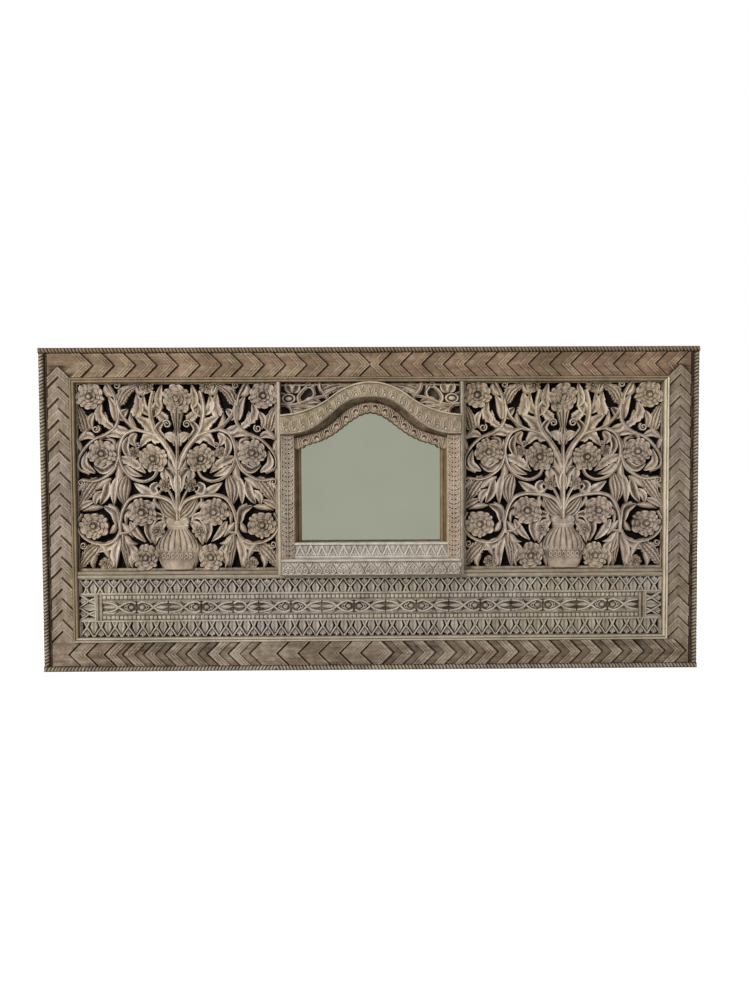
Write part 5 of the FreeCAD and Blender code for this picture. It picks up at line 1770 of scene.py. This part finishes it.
    def crown(self, span: Span) -> list[Form]:
        """What grows along the middle: trunk, palmette, calyx and crown flower.

        Args:
            span: Box of the whole field.

        Returns:
            Closed forms around x zero.
        """
        unit = span.width / 2000
        top, foot = self.stem_top, GROUND
        forms = [stem(self.spots(span, 0, 265, 2, 400, 0, 590), 50 * unit, top + 1, foot,
                      taper=0.9),
                 stem(self.spots(span, 0, 560, 0, 720), 34 * unit, top, foot),
                 leaf(self.spots(span, 0, 672, 0, 725, 0, 775), 128 * unit, top + 1, foot, 3,
                      Cut.FLUTES, 0.45),
                 stem(self.spots(span, 0, 745, 0, 790, 0, 850), 40 * unit, top, foot, Cut.FLUTES,
                      3.4)]
        for side in (1, -1):
            forms.append(leaf(self.spots(span, 4 * side, 690, 62 * side, 725, 125 * side, 728),
                              70 * unit, top - 1, foot))
            forms.append(leaf(self.spots(span, 0, 520, 70 * side, 560, 92 * side, 600),
                              60 * unit, top - 1, foot, cut=Cut.RIDGE))
        x, z = self.spot(span, (-6, 915))
        forms += flower(x, z, 146 * unit, self.flower_top, foot, 12)
        forms += flower(x + 4, z + 5, 96 * unit, self.flower_top + 0.5, foot, 9, 0.4)
        return forms

    def frame(self, span: Span) -> list[Form]:
        """Plain rim round the field.

        Args:
            span: Box that it runs round.

        Returns:
            Its four closed lengths.
        """
        corners = [(span.left, span.bottom), (span.right, span.bottom), (span.right, span.top),
                   (span.left, span.top)]
        face = [(0, self.rim_top, 0.5), (self.rim - 1, self.rim_top, 0.6),
                (self.rim, self.rim_top - 1.5, 0.2)]
        return [run_along(face, corner, corners[(number + 1) % 4], GROUND)
                for number, corner in enumerate(corners)]

    def build(self) -> None:
        """Builds both fields, the left one as the mirror of the right."""
        box = Span.of("floral_panel_right")
        span = Span(box.left, Span.of("bead_right").left + 1, box.bottom, box.top - 4, box.back,
                    box.front)
        middle = span.middle[0]
        piece = Carving("floral_right")
        for form in self.growth(span):
            piece.add(form.placed(x=middle), form.placed(x=middle, flip=True))
        for form in self.pot(span) + self.crown(span):
            piece.add(form.placed(x=middle))
        for form in piece.forms:
            np.clip(form.places[:, 0], box.left, box.right, out=form.places[:, 0])
            np.clip(form.places[:, 2], box.bottom, box.top, out=form.places[:, 2])
        piece.add(*self.frame(box))
        piece.paired(LEAF_WOOD, "floral_panel")


# ---------------------------------------------------------------- mirror frame


def lofted(lines: list[tuple[np.ndarray, float, float]], foot: float) -> Form:
    """Board between curved lines, each at its own level.

    Args:
        lines: Rows of x and z, level and crest of each line, from one edge to the other.
        foot: Level of the back.

    Returns:
        The closed board.
    """
    front = np.zeros((len(lines[0][0]), len(lines), 3))
    crests = np.zeros(front.shape[:2])
    for number, (line, level, crest) in enumerate(lines):
        front[:, number, 0] = line[:, 0]
        front[:, number, 2] = line[:, 1]
        front[:, number, 1] = level
        crests[:, number] = crest
    return sheeted(front, crests, foot)


@dataclass
class MirrorArch:
    """Carved hood over the mirror and the scalloped arch that steps back under it.

    Attributes:
        top: Places along the top edge of the hood, from the middle outwards.
        nose: Places along the lower edge of its face.
        seat: Places along the back of the cove under the face.
        hem: Places along the lower edge of the scalloped arch.
        eyes: Places of the volutes along the scalloped arch.
        fillet: Width of the plain fillet along the top edge.
        stations: Sections along each half.
    """

    top: tuple[Place, ...] = ((0, 892), (28, 889.5), (62, 880), (100, 861), (130, 839), (160, 822),
                              (200, 806), (236, 797), (275, 792))
    nose: tuple[Place, ...] = ((0, 846), (30, 844), (60, 837), (90, 820), (120, 795), (150, 770),
                               (180, 750), (210, 739), (236, 733))
    seat: tuple[Place, ...] = ((0, 831), (30, 826), (60, 815), (90, 793), (120, 766), (150, 746),
                               (180, 735), (210, 727), (236, 722))
    hem: tuple[Place, ...] = ((0, 801), (30, 793), (60, 775), (90, 752), (120, 731), (150, 716),
                              (180, 706), (200, 700), (213, 691), (236, 687))
    eyes: tuple[Place, ...] = ((14, 813), (44, 800), (74, 780), (103, 757), (132, 737), (164, 720),
                               (198, 710))
    fillet: float = 7.0
    stations: int = 96

    def line(self, points: tuple[Place, ...], reach: float) -> np.ndarray:
        """Even stations along x on a smooth line, out to a reach."""
        fine = curved(list(points), 200)
        xs = np.linspace(0, reach, self.stations)
        return np.column_stack((xs, np.interp(xs, fine[:, 0], fine[:, 1])))

    @staticmethod
    def between(one: np.ndarray, other: np.ndarray, share: float) -> np.ndarray:
        """Line between two lines."""
        return one + (other - one) * share

    def hood(self) -> Carving:
        """Right half of the hood.

        Returns:
            The piece.
        """
        span = Span.of("arch_hood_right")
        face = span.front - 4
        top = self.line(self.top, span.right)
        nose = self.line(self.nose, span.right)
        seat = self.line(self.seat, span.right)
        drop = np.array((0, 1))
        rim = self.fillet
        # Low crests paint shade into the cove under the face, and the top fillet's high crests
        # paint a highlight.
        lines = [(top, face - 3, 0.5), (top - drop * 1.5, span.front - 0.4, 0.95),
                 (top - drop * 4, span.front, 1), (top - drop * (rim - 2), span.front - 0.3, 1),
                 (top - drop * rim, face - 1.8, 0.4), (top - drop * (rim + 2.5), face - 1, 0.45),
                 (self.between(top, nose, 0.5), face - 0.4, 0.42),
                 (self.between(nose, top, 0.12), face - 0.8, 0.5),
                 (self.between(nose, top, 0.03), face - 2, 1), (nose, face - 5, 0.8),
                 (self.between(nose, seat, 0.12), face - 12, 0.2),
                 (self.between(nose, seat, 0.55), face - 24, 0.12), (seat, 64, 0.0)]
        piece = Carving("hood_right", [lofted(lines, GROUND)])
        middle = self.between(nose, top - drop * rim, 0.5)
        gaps = (top - drop * rim - nose)[:, 1]
        count = 21
        for number in range(count):
            row = int((number + 0.5) / count * (self.stations - 1))
            x, z = middle[row]
            gap = gaps[row]
            slope = math.atan2(*(middle[min(row + 2, self.stations - 1)]
                                 - middle[max(row - 2, 0)])[::-1])
            if number % 2:
                piece.add(ring(x, z - gap * 0.24, 9.5, 3.4, face + 2.8, face - 4, 0.95),
                          boss(x, z - gap * 0.27, 4.6, face + 2.6, face - 3))
                ends = [(x - 10, z + gap * 0.1), (x + 2, z + gap * 0.32), (x + 13, z + gap * 0.4)]
                piece.add(leaf(ends, 11, face + 3, face - 4, 3))
            else:
                tilt = slope + 1.2
                ends = [(x - 6 * math.cos(tilt), z - gap * 0.42), (x + 3, z - gap * 0.05),
                        (x + 2 * math.cos(tilt), z + gap * 0.32)]
                piece.add(leaf(ends, 13, face + 3.2, face - 4))
                ends = [(x - 2, z + gap * 0.12), (x - 9, z + gap * 0.3), (x - 4, z + gap * 0.43)]
                piece.add(leaf(ends, 7, face + 2.6, face - 4, cut=Cut.RIDGE))
        return piece

    def cusp(self) -> Carving:
        """Right half of the scalloped arch.

        Returns:
            The piece.
        """
        span = Span.of("arch_cusp_right")
        inner = Span.of("mirror_trim_right").left
        body = span.front - 9
        top = self.line(self.seat, 236)
        hem = self.line(self.hem, 236)
        reach = np.concatenate(([0], np.cumsum(np.linalg.norm(np.diff(hem, axis=0), axis=1))))
        waves = np.abs(np.sin(reach / reach[-1] * math.pi * 14 + 0.3)) ** 0.8
        hem[:, 1] -= 3.4 * waves - 1
        over = self.between(top, self.line(self.nose, 236), 0.6)
        # Low crests under the hood and at the back of the hem paint their shade.
        lines = [(over, body, 0.1), (top, body - 1, 0.1),
                 (self.between(top, hem, 0.12), body + 1, 0.75),
                 (self.between(top, hem, 0.6), body + 2, 0.8),
                 (self.between(hem, top, 0.1), body + 2, 1), (hem, body - 2, 0.6),
                 (hem, body - 14, 0.1)]
        piece = Carving("cusp_right", [lofted(lines, GROUND)])
        crest = span.front
        for x, z in self.eyes:
            piece.add(ring(x + 1, z + 1, 11.5, 4.2, crest - 0.5, body - 2),
                      boss(x - 1, z - 2.5, 6.4, crest - 1.5, body - 2, 0.8))
            for number in range(3):
                at = x + 13 + number * 5
                ends = [(at - 3, np.interp(at - 3, hem[:, 0], hem[:, 1]) + 3.5),
                        (at + 3.5, np.interp(at + 3.5, top[:, 0], top[:, 1]) - 3)]
                piece.add(stem(ends, 4.8, crest - 1, body - 2, Cut.ROUND, 0.85))
        for form in piece.forms[1:]:
            np.clip(form.places[:, 0], 0, inner + 20, out=form.places[:, 0])
        return piece

    def build(self) -> None:
        """Builds both halves of hood and scalloped arch."""
        self.hood().paired(ARCH_WOOD, "arch_hood")
        self.cusp().paired(CUSP_WOOD, "arch_cusp")


@dataclass
class Spandrel:
    """Carved corner above the arch: curling leaves, buds and a tulip over dark openings, whose
    shade is painted on a sheet behind them.

    Attributes:
        crest: Level of the leaves.
        foot: Lowest place of the carving.
        head: Highest place of the carving.
        stems: Places along each stem, and its width.
        leaves: Places along each leaf, its width and kind.
    """

    crest: float = 46.0
    foot: float = 786.0
    head: float = 892.5
    stems: tuple[tuple[int, ...], ...] = (
        (284, 826, 240, 823, 205, 832, 165, 846, 128, 852, 11),
        (214, 826, 222, 846, 210, 866, 196, 878, 12), (204, 832, 178, 846, 172, 862, 184, 880, 10),
        (158, 894, 156, 874, 144, 858, 134, 842, 10), (262, 824, 246, 812, 243, 792, 9),
        (284, 870, 276, 860, 262, 858, 7))
    leaves: tuple[tuple[int | Growth, ...], ...] = (
        (242, 862, 252, 876, 254, 894, 17, CUPPED), (238, 862, 228, 876, 222, 893, 17, CUPPED),
        (240, 860, 240, 872, 239, 886, 11, NARROW), (152, 866, 105, 882, 48, 889, 30, STRIPED),
        (246, 816, 214, 811, 180, 820, 24, PLAIN), (205, 836, 176, 838, 150, 830, 15, PLAIN),
        (150, 852, 120, 868, 96, 874, 13, NARROW), (200, 800, 226, 812, 250, 806, 10, NARROW),
        (170, 826, 196, 822, 210, 815, 12, PLAIN), (168, 892, 176, 880, 170, 868, 9, NARROW))

    def build(self) -> None:
        """Builds both corners."""
        top = self.crest
        arch = MirrorArch()
        hood = arch.line(arch.top, 275)
        across = np.linspace(18, 283, len(hood))
        head = np.column_stack((across, np.full(len(hood), self.head - 0.5)))
        seat = np.column_stack((across, np.interp(across, hood[:, 0], hood[:, 1]) - 9))
        # A flat ground sheet at crest 0 takes the recess colour and paints the shade of the
        # openings.
        piece = Carving("spandrel_right_leaves",
                        [lofted([(head, 33, 0), (seat, 33, 0)], GROUND + 0.6)])
        for *path, width in self.stems:
            piece.add(stem(points_of(path), 1.25 * width, top + 5, GROUND))
        for *path, width, kind in self.leaves:
            piece.add(leaf(points_of(path), 1.45 * width, top + 3, GROUND, *kind.value))
        edge = [(0, top, 0.5), (5, top, 0.7), (6, top - 2, 0.2)]
        piece.add(ring(252, 843, 22, 7, top + 3, GROUND, 0.72),
                  boss(252, 843, 12, top + 2, GROUND, 0.6),
                  scroll(190, 886, 13, top + 3, GROUND, 3.6, 1.3, 1),
                  run_along(edge, (282, 886.5), (20, 890.5), GROUND))
        for form in piece.forms:
            np.clip(form.places[:, 2], self.foot, self.head, out=form.places[:, 2])
        piece.paired(LEAF_WOOD, "spandrel")


@dataclass
class MirrorPosts:
    """Jambs with their herringbone leaves, the round strips outside and the splays to the glass.

    Attributes:
        pitch: Distance between the leaves of a jamb.
        spine: Width of the plain spine between their two rows.
    """

    pitch: float = 14.0
    spine: float = 5.0

    def jamb(self) -> Carving:
        """Right jamb.

        Returns:
            The piece.
        """
        span = Span.of("jamb_right")
        rng = random.Random(5)
        middle, foot = span.middle[0], span.front - 4.5
        front, wide = span.front, span.width
        edge = [(0, foot, 0.4), (0.6, front - 1, 0.9), (3, front - 0.6, 1), (4, foot, 0.1),
                (wide - 4, foot, 0.1), (wide - 3, front - 0.6, 1), (wide - 0.6, front - 1, 0.9),
                (wide, foot, 0.4)]
        edge = [(place - wide, level, crest) for place, level, crest in edge]
        piece = Carving("jamb_right_post", [run_along(edge, *span.post, GROUND, seed=4)])
        count = int(span.height / self.pitch)
        for number in range(count):
            z = span.bottom + (number + 0.1) * span.height / count
            for side in (1, -1):
                root = (middle + side * 1.5, z + rng.uniform(-1, 1))
                bend = (middle + side * 9, z + 3.5)
                tip = (middle + side * 16.2, z + 12 + rng.uniform(-1, 1))
                piece.add(leaf([root, bend, tip], rng.uniform(10, 12), front - rng.uniform(0, 0.8),
                               foot - 2, fullness=0.6, tip_drop=1.5))
                if number % 3 == 1:
                    piece.add(boss(middle + side * 12, z - 1, 3.2, front, foot - 1))
        piece.add(stem([(middle, span.bottom + 1), (middle, span.top - 1)], self.spine, front,
                       foot - 1, Cut.RIDGE, 1))
        return piece

    def strips(self) -> tuple[Carving, Carving]:
        """Right round strip and right splay.

        Returns:
            Both pieces.
        """
        span = Span.of("jamb_edge_right")
        base, wide = span.front, span.width
        round_strip = [(0, base - 4, 0.2), (-1.5, base - 1, 0.8), (-4, base, 1), (-8, base - 3, 1),
                       (-11, base - 10, 0.9), (-wide, base - 22, 0.5)]
        form = run_along(round_strip, *span.post, GROUND, step=30, wobble=0.7, seed=8)
        edge = Carving("jamb_edge_right_strip", [form])
        span = Span.of("mirror_trim_right")
        profile = [(0, 33, 0.2), (-2.5, 38, 0.75), (-7, 44, 0.7), (-8, 43, 0.1), (-9, 49, 0.25),
                   (-13, 57, 0.35), (-15, 66, 0.2), (-16.5, 73, 0.8), (-19, 74, 0.9)]
        return edge, Carving("mirror_trim_right_splay", [run_along(profile, *span.post, GROUND)])

    def build(self) -> None:
        """Builds the posts of both sides."""
        # The right jamb gets the lighter copy and the left the darker copy of one jamb wood:
        # painted light and painted shade.
        self.jamb().paired(JAMB_PAINTED_LIT, "jamb", JAMB_PAINTED_SHADE)
        edge, splay = self.strips()
        edge.paired(BEAD_LOW, "jamb_edge")
        splay.paired(TRIM_WOOD, "mirror_trim")


@dataclass
class Sills:
    """Two stepped sills under the mirror, each with a ledge over a row of carving.

    Attributes:
        shells: Shells along the lower sill.
        teeth: Pointed arches along the upper sill.
        ledge: Height of a ledge.
    """

    shells: int = 13
    teeth: int = 14
    ledge: float = 7.0

    def body(self, span: Span) -> Form:
        """Sill board with its ledge.

        Args:
            span: Box of the sill.

        Returns:
            The closed board.
        """
        high, front = span.height, span.front
        face, step = front - 7, high - self.ledge
        lines = [(0, face - 2, 0.2), (0.6, face + 2.2, 0.7), (2.6, face + 2.2, 0.7),
                 (3.4, face, 0.4), (step - 1.5, face, 0.35), (step, front - 1, 0.66),
                 (step + 2, front, 0.78), (high - 1.5, front - 0.2, 0.74), (high, front - 2, 0.5)]
        return run_along(lines, *span.base, GROUND, step=30, wobble=0.35, seed=int(high))

    def lower(self) -> None:
        """Builds the lower sill: pointed shells round pairs of rounds, with fans between them."""
        span = Span.of("sill_lower")
        rng = random.Random(2)
        piece = Carving("sill_lower_board", [self.body(span)])
        pitch = span.width / self.shells
        foot, top, low = span.front - 8, span.front - 3, span.bottom
        for number in range(self.shells):
            x = span.left + (number + 0.5) * pitch
            for side in (1, -1):
                shell = beside(x, low, side, 3, 4, 14, 5, 17.5, 14, 11, 24, 0, 35)
                piece.add(ring(x + side * 7, low + 11.5, 6.6, 2.4, top, foot),
                          boss(x + side * 7, low + 11.5, 2.6, top - 1.4, foot),
                          stem(shell, 3.6, top + rng.uniform(0, 0.8), foot, Cut.ROUND, 1),
                          leaf(beside(x, low, side, 4, 17, 9, 20, 13, 16), 5, top - 1, foot,
                               cut=Cut.RIDGE))
            piece.add(leaf([(x, low + 16), (x, low + 31)], 8, top + 0.5, foot, fullness=0.6))
            for lean in (-1, 0, 1):
                tip = x + pitch / 2 + lean * 9
                if span.left < tip < span.right:
                    piece.add(leaf([(x + pitch / 2 + lean, low + 23), (tip, low + 40)], 6.4,
                                   top - rng.uniform(0, 1), foot, cut=Cut.RIDGE, fullness=0.7))
        piece.dressed(SILL_WOOD, "wood_carved", "sill_lower")

    def upper(self) -> None:
        """Builds the upper sill: double pointed arches, each over a small fan."""
        span = Span.of("sill_upper")
        piece = Carving("sill_upper_board", [self.body(span)])
        pitch = span.width / self.teeth
        foot, top = span.front - 8, span.front - 3
        low, high = span.bottom + 11, span.top - self.ledge - 2
        band = [(3, foot + 3, 0.4), (4, foot + 4.2, 0.7), (9, foot + 4.2, 0.75),
                (10, foot + 2.5, 0.4)]
        piece.add(run_along(band, *span.base, foot, seed=12))
        for number in range(self.teeth):
            x = span.left + (number + 0.5) * pitch
            half = pitch / 2
            for side in (1, -1):
                arch = [(x + side * half * 0.86, low - 1), (x + side * half * 0.45, low + 12),
                        (x, high)]
                piece.add(stem(arch, 6.4, top, foot, Cut.RIDGE, 0.9),
                          leaf(beside(x, low, side, 1.5, -1, 6.5, 3, 7.5, 8), 4.6, top - 1, foot,
                               cut=Cut.RIDGE))
            piece.add(leaf([(x, low - 1), (x, low + 15)], 7, top - 0.6, foot, cut=Cut.CUP))
            if number < self.teeth - 1:
                piece.add(leaf([(x + half, high + 1), (x + half, low + 8)], 11, top - 1, foot,
                               cut=Cut.FLUTES, fullness=0.5))
        piece.dressed(SILL_PALE, "wood_carved", "sill_upper")

    def build(self) -> None:
        """Builds both sills."""
        self.lower()
        self.upper()


# ---------------------------------------------------------------- rear and glass


BLACK_BOARD = PlainFinish("black_board", (9, 7, 5), (17, 13, 10), 0.9, shine=0.1)
REAR_WOOD = OldWood("rear_pine", (96, 74, 50), (120, 96, 68), (158, 132, 98), (186, 160, 124),
                    (148, 118, 84), Grain.ALONG)
REAR_POST = OldWood("rear_pine_upright", (96, 74, 50), (120, 96, 68), (158, 132, 98),
                    (186, 160, 124), (148, 118, 84), Grain.UPRIGHT)
BACKING = PlainFinish("backing_board", (112, 92, 66), (128, 106, 78), 0.8, 0.0, 30.0)
STEEL = PlainFinish("zinc_steel", (150, 150, 148), (112, 110, 106), 0.42, 1.0, 90.0)
GLASS = PlainFinish("mirror_glass_tone", (157, 159, 143), (154, 156, 139), 0.06, 1.0, 3.0)


@dataclass
class CarriedParts:
    """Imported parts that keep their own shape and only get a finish.

    Attributes:
        finishes: First letters of the parts' names, each with a finish.
    """

    finishes: tuple[tuple[str, Finish], ...] = (
        ("back_board", BLACK_BOARD), ("rear_batten", REAR_WOOD), ("rear_upright", REAR_POST),
        ("mirror_backing", BACKING), ("backing_screws", STEEL), ("frame_screws", STEEL),
        ("hanging_plates", STEEL), ("mirror_glass", GLASS))

    def build(self, nodes: dict[str, bpy.types.Object]) -> None:
        """Gives each of these parts its finish.

        Args:
            nodes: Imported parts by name.
        """
        for name, node in nodes.items():
            for start, finish in self.finishes:
                if name.startswith(start):
                    for slot in node.material_slots:
                        slot.material = finish.material()
                    LOG.info("%s: finished", name)


# ---------------------------------------------------------------- stage


@dataclass(frozen=True)
class StageFinish(Finish):
    """Pale ground that the camera and mirrors see as plain white, with the object's shadow.

    Attributes:
        shadow: Share of the shadow that the camera sees.
        lift: Brightness over white of what the camera sees.
    """

    shadow: float = 0.3
    lift: float = 0.3

    def lay(self, bench: NodeBench, shader: bpy.types.Node) -> None:
        """Lays white over the floor for what looks at it, and pale card for the light.

        Args:
            bench: Bench of the material.
            shader: Its surface shader.
        """
        shader.inputs["Base Color"].default_value = (0.8, 0.8, 0.8, 1)
        shader.inputs["Roughness"].default_value = 0.9
        shader.inputs["Specular IOR Level"].default_value = 0.0
        path = bench.new("ShaderNodeLightPath")
        glow = bench.sum("MULTIPLY", path.outputs["Is Camera Ray"], self.lift)
        white = bench.new("ShaderNodeEmission", Strength=bench.sum("ADD", glow, 1.0))
        mix = bench.new("ShaderNodeMixShader")
        mirrored = bench.sum("MAXIMUM", path.outputs["Is Glossy Ray"],
                             path.outputs["Is Transmission Ray"])
        plain = bench.sum("MULTIPLY", path.outputs["Is Camera Ray"], 1 - self.shadow)
        bench.fill(mix.inputs[0], bench.sum("MAXIMUM", plain, mirrored))
        bench.tree.links.new(shader.outputs[0], mix.inputs[1])
        bench.tree.links.new(white.outputs[0], mix.inputs[2])
        output = next(node for node in bench.tree.nodes if node.type == "OUTPUT_MATERIAL")
        bench.tree.links.new(mix.outputs[0], output.inputs[0])


@dataclass
class Stage:
    """Camera, lamps, sky and floor.

    Attributes:
        eye: Place of the camera, in metres.
        yaw: Turn of the view to the right, in degrees.
        pitch: Rise of the view, in degrees.
        roll: Tilt of the picture, in degrees.
        lens: Focal length in millimetres for a 36 mm long side.
        key_power: Power of the key lamp, in watts.
        sky: Strength of the sky's light.
    """

    eye: tuple[float, float, float] = (-0.019, -2.8, 0.651)
    yaw: float = 0.65
    pitch: float = -2.49
    roll: float = -0.27
    lens: float = 32.6
    key_power: float = 275.0
    sky: float = 0.42

    def camera(self) -> None:
        """Adds the camera at the photograph's place."""
        yaw, pitch, roll = (math.radians(value) for value in (self.yaw, self.pitch, self.roll))
        ahead = Vector((math.sin(yaw) * math.cos(pitch), math.cos(yaw) * math.cos(pitch),
                        math.sin(pitch)))
        right = Vector((math.cos(yaw), -math.sin(yaw), 0))
        up = right.cross(ahead)
        side = right * math.cos(roll) + up * math.sin(roll)
        rise = up * math.cos(roll) - right * math.sin(roll)
        data = bpy.data.cameras.new("camera")
        data.lens = self.lens
        data.sensor_width = 36
        camera = bpy.data.objects.new("camera", data)
        camera.matrix_world = Matrix((side, rise, -ahead)).transposed().to_4x4()
        camera.location = self.eye
        bpy.context.scene.collection.objects.link(camera)
        bpy.context.scene.camera = camera

    def lamp(self, name: str, place: tuple[float, float, float], size: float, power: float) -> None:
        """Adds a square lamp that faces the middle of the panel.

        Args:
            name: Its name.
            place: Its place, in metres.
            size: Length of its edge.
            power: Its power, in watts.
        """
        data = bpy.data.lights.new(name, "AREA")
        data.size = size
        data.energy = power
        lamp = bpy.data.objects.new(name, data)
        lamp.location = place
        aim = Vector((0, 0, 0.5)) - Vector(place)
        lamp.rotation_euler = aim.to_track_quat("-Z", "Y").to_euler()
        bpy.context.scene.collection.objects.link(lamp)

    def world(self) -> None:
        """Even sky for the light, white where it is seen."""
        world = bpy.data.worlds.new("sky")
        bpy.context.scene.world = world
        world.use_nodes = True
        world.node_tree.nodes.clear()
        bench = NodeBench(world.node_tree)
        path = bench.new("ShaderNodeLightPath")
        seen = bench.sum("MAXIMUM", path.outputs["Is Camera Ray"], path.outputs["Is Glossy Ray"])
        seen = bench.sum("MAXIMUM", seen, path.outputs["Is Transmission Ray"])
        lift = bench.sum("ADD", bench.sum("MULTIPLY", seen, 1 - self.sky), self.sky)
        sky = bench.new("ShaderNodeBackground", Strength=lift)
        output = bench.new("ShaderNodeOutputWorld")
        world.node_tree.links.new(sky.outputs[0], output.inputs[0])
        sky.inputs[0].default_value = (1, 1, 1, 1)

    def floor(self) -> None:
        """Pale floor under the panel."""
        bpy.ops.object.select_all(action="DESELECT")
        bpy.ops.mesh.primitive_plane_add(size=60, location=(0, 0, 0))
        floor = bpy.context.object
        floor.name = "floor"
        floor.data.materials.append(StageFinish("stage_white").material())

    def build(self) -> None:
        """Sets camera, lamps, sky and floor."""
        self.camera()
        self.lamp("key", (-3.4, -4.1, 2.8), 1.5, self.key_power)
        self.lamp("fill", (2.2, -3.4, 1.6), 2.4, self.key_power * 0.1)
        self.lamp("rear", (2.6, 4.4, 2.6), 2.4, self.key_power * 0.6)
        self.world()
        self.floor()
        bpy.context.scene.view_settings.view_transform = "Standard"


def main() -> None:
    """Builds the pieces in order and reports them."""
    logging.basicConfig(level=logging.INFO, format="%(message)s")
    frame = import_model()
    for side in Side:
        RopeMoulding(side).build()
    boards = ChevronFrame()
    boards.stiles()
    boards.rails()
    BeadMoulding().build()
    Lattice().build()
    BeadRow("bead_row_lower").build()
    BeadRow("bead_row_upper").build()
    CarvedBlocks().build()
    PlainRuns().build()
    FloralField().build()
    MirrorArch().build()
    Spandrel().build()
    MirrorPosts().build()
    Sills().build()
    CarriedParts().build(frame["nodes"])
    Stage().build()


if __name__ == "__main__":
    main()
